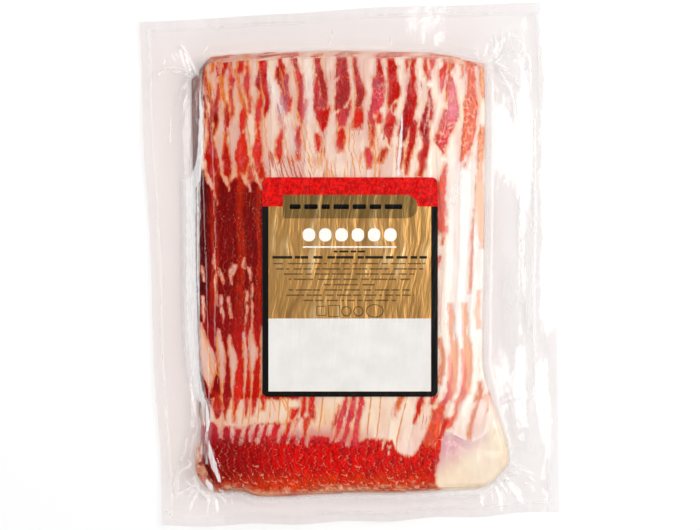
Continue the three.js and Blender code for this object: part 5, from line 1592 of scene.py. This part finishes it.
    # fine scales of the solid muscle: a pale wavering line, dark beside it, cream flecks lower down
    zone = m.attr("scale_zone")
    low = m.attr("scale_low")
    wig = m.noise(p, 640.0, 2.0, 0.45)
    wig2 = m.noise(m.stretch(p, (200.0, 520.0, 300.0)), 1.0, 1.0, 0.5)
    q = m.math("FRACT", m.math("ADD", m.attr("scale"), m.math("ADD", m.math("MULTIPLY", m.math("SUBTRACT", wig, 0.5), 0.85), m.math("MULTIPLY", m.math("SUBTRACT", wig2, 0.5), 1.3))))
    dist = m.math("ABSOLUTE", m.math("SUBTRACT", q, 0.5))
    shade = m.math("MULTIPLY", m.math("MULTIPLY", m.step(q, 0.51, 0.60), m.step(q, 0.96, 0.62)), m.math("MULTIPLY", zone, 0.60))
    base = m.mixc(shade, base, m.mixc(low, srgb(92, 2, 4), srgb(140, 18, 4)))
    gate = m.step(m.noise(m.stretch(p, (190.0, 120.0, 150.0), 0.2), 1.0, 2.0, 0.55), 0.40, 0.54)
    line = m.math("MULTIPLY", m.math("MULTIPLY", m.step(dist, 0.075, 0.02), gate), m.math("MULTIPLY", zone, 0.42))
    base = m.mixc(line, base, m.mixc(m.step(wig, 0.40, 0.62), srgb(222, 96, 62), srgb(234, 156, 126)))
    spots = m.noise(m.stretch(p, (900.0, 640.0, 500.0), 0.5), 1.0, 2.0, 0.5)
    flecks = m.math("MULTIPLY", m.step(spots, 0.60, 0.67), m.step(dist, 0.26, 0.12))
    flecks = m.math("MULTIPLY", flecks, m.math("MULTIPLY", m.math("MULTIPLY_ADD", low, 0.40, 0.10), m.step(zone, 0.5, 0.9)))
    base = m.mixc(flecks, base, srgb(242, 200, 172))
    # cream crescents near the lower end, where a seam turns over at each scale
    across2 = m.math("ADD", m.attr("scale"), m.math("MULTIPLY", m.math("SUBTRACT", wig, 0.5), 0.5))
    number = m.math("FLOOR", across2)
    par = m.math("MULTIPLY_ADD", m.math("SUBTRACT", across2, number), 2.0, -1.0)
    par2 = m.math("MULTIPLY", par, par)
    v_here = m.math("MULTIPLY_ADD", sep.outputs[1], -1000.0 / UNIT, 264.5 - SHIFT_Y / UNIT)
    v_here = m.math("ADD", v_here, m.math("MULTIPLY", m.math("SUBTRACT", coarse, 0.5), 4.5))
    moons = None
    for v0, seed, least in ((482.6, 3.0, 0.36), (475.6, 61.0, 0.70), (467.6, 127.0, 0.86)):
        rnd = []
        for extra in (0.0, 400.0):
            wn = m.add("ShaderNodeTexWhiteNoise", noise_dimensions="1D")
            m.link(m.math("ADD", number, seed + extra), wn.inputs["W"])
            rnd.append(wn.outputs["Value"])
        v_arc = m.math("MULTIPLY_ADD", par2, -3.2, m.math("MULTIPLY_ADD", rnd[0], 5.0, v0 - 2.5))
        moon = m.step(m.math("ABSOLUTE", m.math("SUBTRACT", v_here, v_arc)), 1.0, 0.25)
        moon = m.math("MULTIPLY", moon, m.math("MULTIPLY", m.step(par2, 0.62, 0.30), m.step(rnd[1], least, least + 0.05)))
        moons = moon if moons is None else m.math("MAXIMUM", moons, moon)
    base = m.mixc(m.math("MULTIPLY", m.math("MULTIPLY", moons, 0.46), zone), base, srgb(240, 176, 150))
    rind = m.attr("rind")
    rmask = m.step(m.math("ADD", rind, m.math("MULTIPLY", wob, 0.5)), 0.20, 0.62, 0.0, 0.80)
    base = m.mixc(rmask, base, srgb(234, 148, 58))
    rough = m.step(mask, 0.0, 1.0, 0.42, 0.34)
    b = m.add("ShaderNodeBsdfPrincipled")
    m.put(b.inputs["Base Color"], base)
    m.put(b.inputs["Roughness"], rough)
    b.inputs["Specular IOR Level"].default_value = 0.06
    hgt = m.math("ADD", m.math("MULTIPLY", fibre, 0.5), m.math("ADD", m.math("MULTIPLY", grain, 0.3), m.math("MULTIPLY", mask, -0.35)))
    m.link(m.bump(hgt, 0.5, 0.00025), b.inputs["Normal"])
    m.link(b.outputs[0], m.out.inputs[0])
    return m.mat


# folds gathered at the food's corners: strength, half width, then points (u, v)
FOLDS = [
    # upper left
    (0.90, 1.15, [(181, 44), (185, 51), (190, 60.5), (194, 68), (196, 73)]), (0.62, 0.75, [(160.5, 72.5), (164, 69.5), (170, 66.5), (177, 66.8), (184, 68.5), (191, 72)]),
    (0.60, 0.80, [(166, 68), (162, 64.5), (163, 60), (165, 58)]), (0.62, 0.90, [(160, 70.5), (157.6, 73), (156.6, 76.5)]),
    (0.50, 0.65, [(174, 71), (180, 71.4), (186, 73.6), (191, 76.6)]), (0.55, 0.80, [(187, 71), (190.6, 70.8), (192, 74), (189, 76.4), (186.5, 74.6)]),
    (0.22, 2.00, [(190.5, 78), (185, 85), (180, 94), (176, 104)]), (0.30, 0.9, [(196, 73.5), (200, 68)]),
    # upper right
    (0.62, 0.80, [(495.6, 32), (496.8, 42), (497.2, 50), (496.2, 58)]), (0.40, 0.65, [(490, 36), (493, 48), (495.4, 57)]), (0.42, 0.8, [(503.4, 34), (501, 47), (498, 57)]),
    (0.55, 0.95, [(496.6, 62), (501, 65), (507, 67.6)]), (0.5, 0.8, [(497.6, 62.4), (502, 56), (507, 51), (513, 48)]), (0.42, 0.9, [(499, 67), (504, 69), (508, 71.6)]),
    (0.45, 1.0, [(517, 36), (524, 46), (529, 57), (531, 70), (530.6, 84), (527, 98)]), (0.45, 0.9, [(499.6, 68), (506, 79), (511.6, 90), (515, 103), (516, 118)]),
    (0.32, 1.2, [(515, 77), (520, 83.6), (526, 85.4), (531, 82)]), (0.35, 0.7, [(486, 66), (489, 68.4), (492.6, 67)]), (0.4, 0.9, [(509, 32), (512, 44), (518, 54), (521, 60)]),
    # lower left
    (0.75, 0.80, [(177.6, 474.6), (183, 469.6), (188, 466.4), (191, 465)]), (0.50, 0.6, [(186, 460.4), (189.6, 465)]), (0.30, 0.6, [(191.4, 466.4), (196, 466), (201, 466.6)]),
    (0.72, 0.75, [(196, 483.6), (190, 488), (184, 490.6), (177.4, 494)]), (0.60, 0.65, [(177.6, 493.6), (176, 498)]), (0.60, 1.9, [(194, 477), (195.4, 483), (197.6, 489)]),
    (0.52, 0.65, [(186, 482), (190, 485.4), (194.6, 487.6)]), (0.60, 0.75, [(193, 491), (196.6, 495), (194.4, 499.6), (192, 503.6)]), (0.5, 0.6, [(192.6, 492), (193.4, 497)]),
    (0.70, 1.10, [(196, 487), (200, 492), (204, 496.6), (209, 498.6), (214, 497.4)]), (0.52, 0.6, [(210.6, 499.6), (208, 507), (206, 516)]),
    (0.62, 0.85, [(217, 494), (221, 498), (225.6, 503.6)]), (0.35, 0.55, [(187, 449), (191.4, 452.6), (190.4, 457)]), (0.35, 1.4, [(186, 440), (184, 452), (180, 462)]),
    (0.25, 2.4, [(177, 470), (175, 482), (176, 492)]), (0.3, 0.8, [(165, 512), (170, 517), (173, 521)]),
    # lower right
    (0.60, 0.70, [(509.6, 461), (514, 465), (519, 467.6)]), (0.52, 0.65, [(511, 462.6), (512.6, 459.6)]), (0.58, 0.75, [(509, 470), (514, 473.4), (521, 475.6)]), (0.45, 0.6, [(513.6, 470), (518.4, 471.4)]),
    (0.50, 0.75, [(503, 478), (510, 475.8), (518.6, 475.2)]), (0.78, 0.80, [(499.6, 480), (501.6, 487), (504.6, 500)]), (0.38, 0.7, [(505, 480), (508.6, 489), (511, 497.6)]),
    (0.65, 0.80, [(506.6, 479.4), (513, 483.6), (518, 489.4), (522.6, 497)]), (0.66, 0.75, [(519, 502), (522.6, 503.6), (526, 503.6)]), (0.72, 0.85, [(530.6, 477.6), (534.4, 481.4)]),
    (0.45, 0.8, [(485, 491), (490, 491.6), (494.6, 489.6)]), (0.55, 1.3, [(469.4, 493.4), (470, 498)]), (0.30, 1.3, [(525, 484), (531, 487), (535, 492)]), (0.30, 1.0, [(483.6, 494), (484, 503)]),
    # along the sides
    (0.35, 0.8, [(327, 45), (331, 38), (333, 28)]), (0.30, 0.8, [(389, 46), (391, 38)]), (0.30, 0.7, [(170, 120), (168, 150)]), (0.26, 1.2, [(508, 446), (516, 449), (524, 447)]),
    (0.35, 0.9, [(524, 90), (523, 150), (521, 210), (519, 290)]), (0.30, 1.2, [(535, 120), (536, 200), (534, 300), (537, 400)]), (0.26, 1.4, [(510, 400), (516, 408), (527, 404), (534, 396)]),
]


def fold_field(U, V):
    """Signed distance to the folds, in grid units, and the nearest one's strength."""
    out = np.full(U.shape, -9.0)
    amt = np.zeros(U.shape)
    for strength, half, pts in FOLDS:
        lo_u, hi_u = min(q[0] for q in pts) - 9, max(q[0] for q in pts) + 9
        lo_v, hi_v = min(q[1] for q in pts) - 9, max(q[1] for q in pts) + 9
        idx = np.nonzero((U > lo_u) & (U < hi_u) & (V > lo_v) & (V < hi_v))[0]
        if len(idx) == 0:
            continue
        u, v = U[idx], V[idx]
        u = u + 0.8 * vnoise(u / 5.0, v / 5.0, 241)
        v = v + 0.8 * vnoise(u / 5.0, v / 5.0, 243)
        d = np.full(u.shape, -9.0)
        parts = len(pts) - 1
        for k in range(parts):
            (u0, v0), (u1, v1) = pts[k], pts[k + 1]
            du, dv = u1 - u0, v1 - v0
            t = clip01(((u - u0) * du + (v - v0) * dv) / (du * du + dv * dv))
            along = (k + t) / parts
            w = half * (0.55 + 0.45 * np.sin(math.pi * (0.12 + 0.76 * along)))
            d = np.maximum(d, w - np.hypot(u - (u0 + t * du), v - (v0 + t * dv)))
        better = d > out[idx]
        out[idx] = np.where(better, d, out[idx])
        amt[idx] = np.where(better, strength, amt[idx])
    return out, amt


def film_material(under=False):
    m = Nodes("film_under_clear" if under else "film_clear")
    p = m.place()
    clear = m.add("ShaderNodeBsdfTransparent")
    # the tint is paler where the clear attribute is high, as painted light
    m.link(m.mixc(m.attr("clear"), (0.993, 0.968, 0.960), (0.997, 0.985, 0.982)), clear.inputs[0])
    gloss = m.add("ShaderNodeBsdfGlossy")
    gloss.inputs["Color"].default_value = (1.0, 0.99, 0.985, 1.0)
    gloss.inputs["Roughness"].default_value = 0.07
    small = m.noise(p, 420.0, 3.0, 0.5)
    height = m.math("MULTIPLY", small, 0.12)
    folds = None
    if not under:
        border = m.attr("border")
        jag0 = m.noise(p, 900.0, 2.0, 0.5)
        fold_in = m.step(m.math("ADD", m.attr("fold"), m.math("MULTIPLY", m.math("SUBTRACT", jag0, 0.5), 0.22)), 0.36, 0.56)
        folds = m.math("MULTIPLY", fold_in, m.attr("fold_amt"))
        height = m.math("ADD", height, m.math("MULTIPLY", folds, 0.7))
        # faint broad wrinkles over the border
        wr = m.noise(m.stretch(p, (70.0, 22.0, 10.0), 0.1), 1.0, 4.0, 0.55, 0.6)
        height = m.math("ADD", height, m.math("MULTIPLY", m.math("MULTIPLY", wr, border), 0.8))
    nrm = m.bump(height, 0.5, 0.0006)
    m.link(nrm, gloss.inputs["Normal"])
    facing = m.add("ShaderNodeLayerWeight")
    facing.inputs["Blend"].default_value = 0.5
    m.link(nrm, facing.inputs["Normal"])
    fac = m.math("MULTIPLY_ADD", m.math("POWER", facing.outputs["Facing"], 5.0), 0.50, 0.042, clamp=True)
    if not under:
        fac = m.math("MULTIPLY", fac, m.attr("cling"))
    mixs = m.add("ShaderNodeMixShader")
    m.link(fac, mixs.inputs[0])
    m.link(clear.outputs[0], mixs.inputs[1])
    m.link(gloss.outputs[0], mixs.inputs[2])
    last = mixs
    if not under:
        # where the film is folded or stands off the food it is drawn white: painted glare, painted soft light, painted
        # highlights on the folds and painted glints, with a little haze where it stands off
        jag = m.noise(m.stretch(p, (1100.0, 260.0, 300.0)), 1.0, 3.0, 0.6)
        edge = m.step(m.math("ADD", m.attr("painted_glare"), m.math("MULTIPLY", m.math("SUBTRACT", jag, 0.5), 0.80)), 0.38, 0.64)
        streak = m.step(m.noise(m.stretch(p, (1900.0, 130.0, 300.0)), 1.0, 3.0, 0.6), 0.30, 0.60, 0.76, 1.0)
        # the weaker places are patchy
        amt = m.attr("painted_glare_amt")
        patchy = m.step(m.noise(m.stretch(p, (620.0, 120.0, 300.0), 0.06), 1.0, 3.0, 0.6), 0.36, 0.62, 1.0, 0.0)
        amt = m.math("SUBTRACT", amt, m.math("MULTIPLY", patchy, m.math("MULTIPLY", amt, m.math("MULTIPLY_ADD", amt, -1.6, 1.6, clamp=True))), clamp=True)
        bright = m.math("MULTIPLY", m.math("MULTIPLY", edge, amt), streak)
        painted_light_and_seal = m.math("MULTIPLY", m.attr("painted_light_and_seal"), m.step(m.noise(m.stretch(p, (260.0, 40.0, 100.0)), 1.0, 2.0, 0.5), 0.3, 0.7, 0.84, 1.10))
        # painted highlights: the folds are drawn as white lines, partly real whitening of the creased film
        lines = m.math("MULTIPLY", folds, 0.92)
        haze = m.math("ADD", m.math("MULTIPLY", m.attr("gap"), 0.02), m.math("MULTIPLY", m.attr("crease"), 0.04))
        # painted glints: small white flecks scattered over the film
        painted_glint = m.step(m.noise(p, 1500.0, 2.0, 0.5), 0.715, 0.75, 0.0, 0.55)
        painted_glint = m.math("MULTIPLY", painted_glint, m.step(m.noise(p, 70.0, 2.0, 0.5), 0.52, 0.62))
        painted_glare_f = m.math("MAXIMUM", m.math("MAXIMUM", bright, painted_light_and_seal), m.math("MAXIMUM", m.math("MAXIMUM", lines, haze), painted_glint), clamp=True)
        painted_glare = m.add("ShaderNodeBsdfDiffuse")
        painted_glare.inputs[0].default_value = (0.985, 0.965, 0.96, 1.0)
        upright = m.add("ShaderNodeCombineXYZ")
        upright.inputs[2].default_value = 1.0
        m.link(upright.outputs[0], painted_glare.inputs["Normal"])
        # it lets about half of the light through to what lies beneath
        through = m.add("ShaderNodeBsdfTranslucent")
        through.inputs[0].default_value = (0.985, 0.965, 0.96, 1.0)
        m.link(upright.outputs[0], through.inputs["Normal"])
        both = m.add("ShaderNodeMixShader")
        m.link(m.math("MULTIPLY", border, 0.42), both.inputs[0])
        m.link(painted_glare.outputs[0], both.inputs[1])
        m.link(through.outputs[0], both.inputs[2])
        # painted light: the glare glows by emission where the glow attribute is set
        shine = m.add("ShaderNodeEmission")
        shine.inputs[0].default_value = (1.0, 0.975, 0.97, 1.0)
        shine.inputs[1].default_value = 0.95
        lit = m.add("ShaderNodeMixShader")
        m.link(m.attr("glow"), lit.inputs[0])
        m.link(both.outputs[0], lit.inputs[1])
        m.link(shine.outputs[0], lit.inputs[2])
        mix2 = m.add("ShaderNodeMixShader")
        m.link(painted_glare_f, mix2.inputs[0])
        m.link(mixs.outputs[0], mix2.inputs[1])
        m.link(lit.outputs[0], mix2.inputs[2])
        last = mix2
    m.link(last.outputs[0], m.out.inputs[0])
    return m.mat


def label_material():
    m = Nodes("label_print")
    tc = m.place()
    sep = m.add("ShaderNodeSeparateXYZ")
    m.link(tc, sep.inputs[0])
    # drawing-grid coordinates u, v from the object's metres
    U = m.math("MULTIPLY_ADD", sep.outputs[0], 1000.0 / UNIT, SHIFT_X / UNIT + 349.0)
    V = m.math("MULTIPLY_ADD", sep.outputs[1], -1000.0 / UNIT, 264.5 - SHIFT_Y / UNIT)

    def box(u0, u1, v0, v1, r=0.0, soft=0.35):
        """1 inside a rounded box, 0 outside."""
        cu, cv, hu, hv = (u0 + u1) / 2, (v0 + v1) / 2, (u1 - u0) / 2 - r, (v1 - v0) / 2 - r
        a = m.math("MAXIMUM", m.math("SUBTRACT", m.math("ABSOLUTE", m.math("SUBTRACT", U, cu)), hu), 0.0)
        b = m.math("MAXIMUM", m.math("SUBTRACT", m.math("ABSOLUTE", m.math("SUBTRACT", V, cv)), hv), 0.0)
        d = m.math("SQRT", m.math("ADD", m.math("MULTIPLY", a, a), m.math("MULTIPLY", b, b)))
        return m.step(d, r + soft * 0.5, max(r - soft * 0.5, 0.0) if r > 0 else 0.0, 0.0, 1.0)

    def ring(cu, cv, ru, rv, thick):
        a = m.math("DIVIDE", m.math("SUBTRACT", U, cu), ru)
        b = m.math("DIVIDE", m.math("SUBTRACT", V, cv), rv)
        d = m.math("SQRT", m.math("ADD", m.math("MULTIPLY", a, a), m.math("MULTIPLY", b, b)))
        return m.step(m.math("ABSOLUTE", m.math("SUBTRACT", d, 1.0)), thick / ru * 1.3, thick / ru * 0.7)

    def frame_box(u0, u1, v0, v1, r, thick):
        outer = box(u0, u1, v0, v1, r)
        inner = box(u0 + thick, u1 - thick, v0 + thick, v1 - thick, max(r - thick, 0.2))
        return m.math("SUBTRACT", outer, inner, clamp=True)

    ink = srgb(10, 11, 9)
    # long wavering ridges run up the foil; their crests get a painted highlight and their troughs painted shade in the
    # colour, besides the bump
    sway = m.noise(m.stretch(tc, (26.0, 34.0, 30.0)), 1.0, 2.0, 0.5)
    run = m.add("ShaderNodeCombineXYZ")
    m.link(m.math("ADD", m.math("MULTIPLY", U, 0.085), m.math("ADD", m.math("MULTIPLY", V, 0.012), m.math("MULTIPLY", sway, 1.7))), run.inputs[0])
    m.link(m.math("MULTIPLY", V, 0.014), run.inputs[1])
    ridge = m.noise(run.outputs[0], 1.0, 3.0, 0.55)
    crest = m.step(ridge, 0.55, 0.74)
    painted_trough_shade = m.step(ridge, 0.50, 0.30)
    gold = m.mixc(m.math("MULTIPLY", painted_trough_shade, 0.75), srgb(192, 144, 82), srgb(150, 108, 58))
    gold = m.mixc(m.math("MULTIPLY", crest, 0.85), gold, srgb(236, 202, 148))
    col = gold
    # black surround, red band, white panel
    field = box(269.0, 430.6, 190.0, 390.8, 0.0)
    col = m.mixc(field, ink, col)
    red_tone = m.noise(m.stretch(tc, (620.0, 540.0, 300.0)), 1.0, 4.0, 0.7, 0.6)
    red = m.mixc(m.step(red_tone, 0.40, 0.62), srgb(176, 0, 2), srgb(240, 16, 10))
    band = box(255.0, 445.0, 160.0, 206.8, 0.0)
    col = m.mixc(band, col, red)
    # plate with a round right end
    plate_shape = m.math("MAXIMUM", box(283.4, 405.0, 195.4, 218.6, 0.0), box(330.0, 417.3, 195.4, 218.6, 11.6))
    # the plate's foil has the same painted highlight on the crests and painted shade in the troughs
    plate_tone = m.mixc(m.math("MULTIPLY", crest, 0.8), m.mixc(painted_trough_shade, srgb(136, 106, 60), srgb(112, 86, 44)), srgb(206, 174, 124))
    col = m.mixc(plate_shape, col, plate_tone)
    panel = box(269.0, 430.4, 318.3, 390.6, 0.0)
    paper = m.noise(tc, 90.0, 3.0, 0.5)
    paper_col = m.mixc(m.step(paper, 0.3, 0.7), srgb(225, 221, 216), srgb(233, 230, 226))
    col = m.mixc(panel, col, paper_col)
    # dark bars on the plate
    bars = None
    for i, (a, b) in enumerate(((290.0, 301.0), (304.5, 318.0), (321.5, 330.0), (333.5, 349.0), (352.5, 366.0), (369.5, 381.0), (384.5, 402.0))):
        s = box(a, b, 204.6, 209.4, 1.2)
        bars = s if bars is None else m.math("MAXIMUM", bars, s)
    col = m.mixc(bars, col, ink)
    # a row of white lozenges over a thin rule
    head = None
    for i in range(6):
        a = 303.0 + i * 16.2
        s = box(a, a + 12.4, 228.5, 241.5, 5.6)
        head = s if head is None else m.math("MAXIMUM", head, s)
    rule = box(303.0, 396.4, 246.4, 247.8, 0.6)
    head = m.math("MAXIMUM", head, rule)
    col = m.mixc(head, col, srgb(246, 243, 236))

    # rows of short dark dashes
    def dashes(v_mid, height, u0, u1, pitch, seed, fill):
        row = box(u0, u1, v_mid - height / 2, v_mid + height / 2, 0.0)
        n = m.add("ShaderNodeTexNoise", noise_dimensions="1D")
        n.inputs["Scale"].default_value = 1.0 / pitch
        n.inputs["Detail"].default_value = 1.0
        m.link(m.math("ADD", U, seed * 37.7), n.inputs["W"])
        gaps = m.step(n.outputs["Fac"], fill - 0.015, fill + 0.015, 1.0, 0.0)
        return m.math("MULTIPLY", row, gaps)

    text = dashes(251.6, 1.7, 334.0, 365.0, 6.0, 1, 0.60)
    bold = dashes(257.4, 2.5, 273.0, 426.5, 7.5, 2, 0.58)
    text = m.math("MAXIMUM", text, bold)
    for i, (v, a, b) in enumerate(((263.6, 274.0, 425.0), (268.9, 276.0, 423.0), (274.0, 284.5, 414.0), (279.2, 289.0, 409.5), (284.6, 324.0, 374.5),
                                   (289.8, 289.0, 409.5), (295.0, 285.5, 413.5), (300.2, 303.5, 395.5))):
        text = m.math("MAXIMUM", text, m.math("MULTIPLY", dashes(v, 1.25, a, b, 5.5, 3 + i, 0.58), 0.74))
    marks = frame_box(316.5, 326.5, 305.6, 315.6, 1.4, 0.8)
    for s in (frame_box(328.4, 340.0, 304.8, 316.6, 1.0, 0.7), ring(346.4, 311.0, 4.6, 4.6, 0.5), ring(358.4, 311.0, 4.6, 4.6, 0.5), ring(374.6, 310.6, 8.4, 6.2, 0.55)):
        marks = m.math("MAXIMUM", marks, s)
    text = m.math("MAXIMUM", text, m.math("MULTIPLY", marks, 0.85))
    col = m.mixc(text, col, srgb(34, 34, 26))
    # foil and paper differ in shine
    foil = m.math("SUBTRACT", 1.0, panel, clamp=True)
    foil = m.math("MULTIPLY", foil, m.math("MULTIPLY", field, m.math("SUBTRACT", 1.0, m.math("MULTIPLY", text, 0.8))))
    foil = m.math("MULTIPLY", foil, m.math("SUBTRACT", 1.0, band))
    foil = m.math("MULTIPLY", foil, m.math("SUBTRACT", 1.0, head), clamp=True)
    foil = m.math("MAXIMUM", foil, m.math("MULTIPLY", plate_shape, m.math("SUBTRACT", 1.0, bars)))
    b = m.add("ShaderNodeBsdfPrincipled")
    m.put(b.inputs["Base Color"], col)
    m.put(b.inputs["Metallic"], m.math("MULTIPLY", foil, 0.55))
    m.put(b.inputs["Roughness"], m.step(foil, 0.0, 1.0, 0.42, 0.34))
    b.inputs["Specular IOR Level"].default_value = 0.12
    tiny = m.noise(tc, 1300.0, 2.0, 0.5)
    m.link(m.bump(m.math("ADD", ridge, m.math("MULTIPLY", tiny, 0.05)), 0.8, 0.0011), b.inputs["Normal"])
    m.link(b.outputs[0], m.out.inputs[0])
    return m.mat


# ------------------------------------------------------------ build it all
meat = meat_material()
pieces = []
for k in range(-UNDER, SLICES):
    ob = slice_object(k)
    ob.data.materials.append(meat)
    pieces.append(ob)
for ob in (lobe_object(), curl_object()):
    ob.data.materials.append(meat)
    pieces.append(ob)
for ob in pieces:
    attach(ob, "root")
    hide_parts("vacuum_pouch")

film_top = film_object()
film_top.data.materials.append(film_material())
film_under = film_under_object()
film_under.data.materials.append(film_material(True))
for ob in (film_top, film_under):
    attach(ob, "root")
    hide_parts("vacuum_pouch")

label = label_object()
label.data.materials.append(label_material())
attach(label, "root")
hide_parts("front_label")


# ------------------------------------------------------------------- stage
def floor_material():
    m = Nodes("pale_floor")
    b = m.add("ShaderNodeBsdfPrincipled")
    n = m.noise(m.place(), 3.0, 2.0, 0.5)
    m.put(b.inputs["Base Color"], m.mixc(n, (0.955, 0.955, 0.955), (0.965, 0.965, 0.965)))
    b.inputs["Roughness"].default_value = 0.9
    b.inputs["Specular IOR Level"].default_value = 0.1
    m.link(b.outputs[0], m.out.inputs[0])
    return m.mat


R = 4.0
ang = np.linspace(0, 2 * math.pi, 65)[:-1]
fv = [(R * math.cos(a), R * math.sin(a), -0.0004) for a in ang]
fm = bpy.data.meshes.new("floor")
fm.from_pydata(fv, [], [list(range(64))])
fm.update()
floor = bpy.data.objects.new("floor", fm)
bpy.context.scene.collection.objects.link(floor)
fm.materials.append(floor_material())
floor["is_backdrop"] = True


def area_light(name, place, target, size_x, size_y, power, color=(1, 1, 1)):
    d = bpy.data.lights.new(name, "AREA")
    d.shape = "RECTANGLE"
    d.size = size_x
    d.size_y = size_y
    d.energy = power
    d.color = color
    o = bpy.data.objects.new(name, d)
    o.location = place
    direction = np.array(target, dtype=float) - np.array(place, dtype=float)
    from mathutils import Vector
    o.rotation_euler = Vector(direction).to_track_quat("-Z", "Y").to_euler()
    bpy.context.scene.collection.objects.link(o)
    return o


area_light("key_right", (0.62, 0.10, 0.85), (0.0, 0.0, 0.0), 0.50, 1.0, 8.4)
area_light("soft_left", (-0.85, 0.05, 0.55), (0.0, 0.0, 0.0), 0.35, 1.2, 4.4)
area_light("soft_top", (0.0, 0.95, 0.60), (0.0, 0.0, 0.0), 1.0, 0.35, 2.2)
area_light("soft_low", (0.0, -0.95, 0.60), (0.0, 0.0, 0.0), 1.0, 0.35, 2.2)

world = bpy.data.worlds.new("studio")
world.use_nodes = True
bpy.context.scene.world = world
wt = world.node_tree
wt.nodes.clear()
wo = wt.nodes.new("ShaderNodeOutputWorld")
bg = wt.nodes.new("ShaderNodeBackground")
tc = wt.nodes.new("ShaderNodeTexCoord")
sx = wt.nodes.new("ShaderNodeSeparateXYZ")
mr = wt.nodes.new("ShaderNodeMapRange")
mr.interpolation_type = "SMOOTHSTEP"
mr.inputs["From Min"].default_value = 0.45
mr.inputs["From Max"].default_value = 0.86
mr.inputs["To Min"].default_value = 0.48
mr.inputs["To Max"].default_value = 0.03
wt.links.new(tc.outputs["Generated"], sx.inputs[0])
wt.links.new(sx.outputs[2], mr.inputs["Value"])
wt.links.new(mr.outputs["Result"], bg.inputs["Strength"])
bg.inputs["Color"].default_value = (1.0, 1.0, 1.0, 1.0)
wt.links.new(bg.outputs[0], wo.inputs[0])

bpy.context.scene.view_settings.view_transform = "Standard"
bpy.context.scene.view_settings.look = "None"
bpy.context.scene.view_settings.exposure = 0.0

cam_data = bpy.data.cameras.new("camera")
cam_data.lens = 100.0
cam_data.sensor_width = 36.0
cam_data.sensor_fit = "HORIZONTAL"
cam_data.clip_start = 0.05
cam_data.clip_end = 20.0
cam = bpy.data.objects.new("camera", cam_data)
VIEW_WIDTH = 700 * UNIT * 0.001
cam.location = ((gx(350.0) - SHIFT_X) * 0.001, (gy(265.0) - SHIFT_Y) * 0.001, VIEW_WIDTH * 100.0 / 36.0 + 0.006)
cam.rotation_euler = (0.0, 0.0, 0.0)
bpy.context.scene.collection.objects.link(cam)
bpy.context.scene.camera = cam

{"cad": plain(CAD_BOX), "visual": plain(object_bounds())}
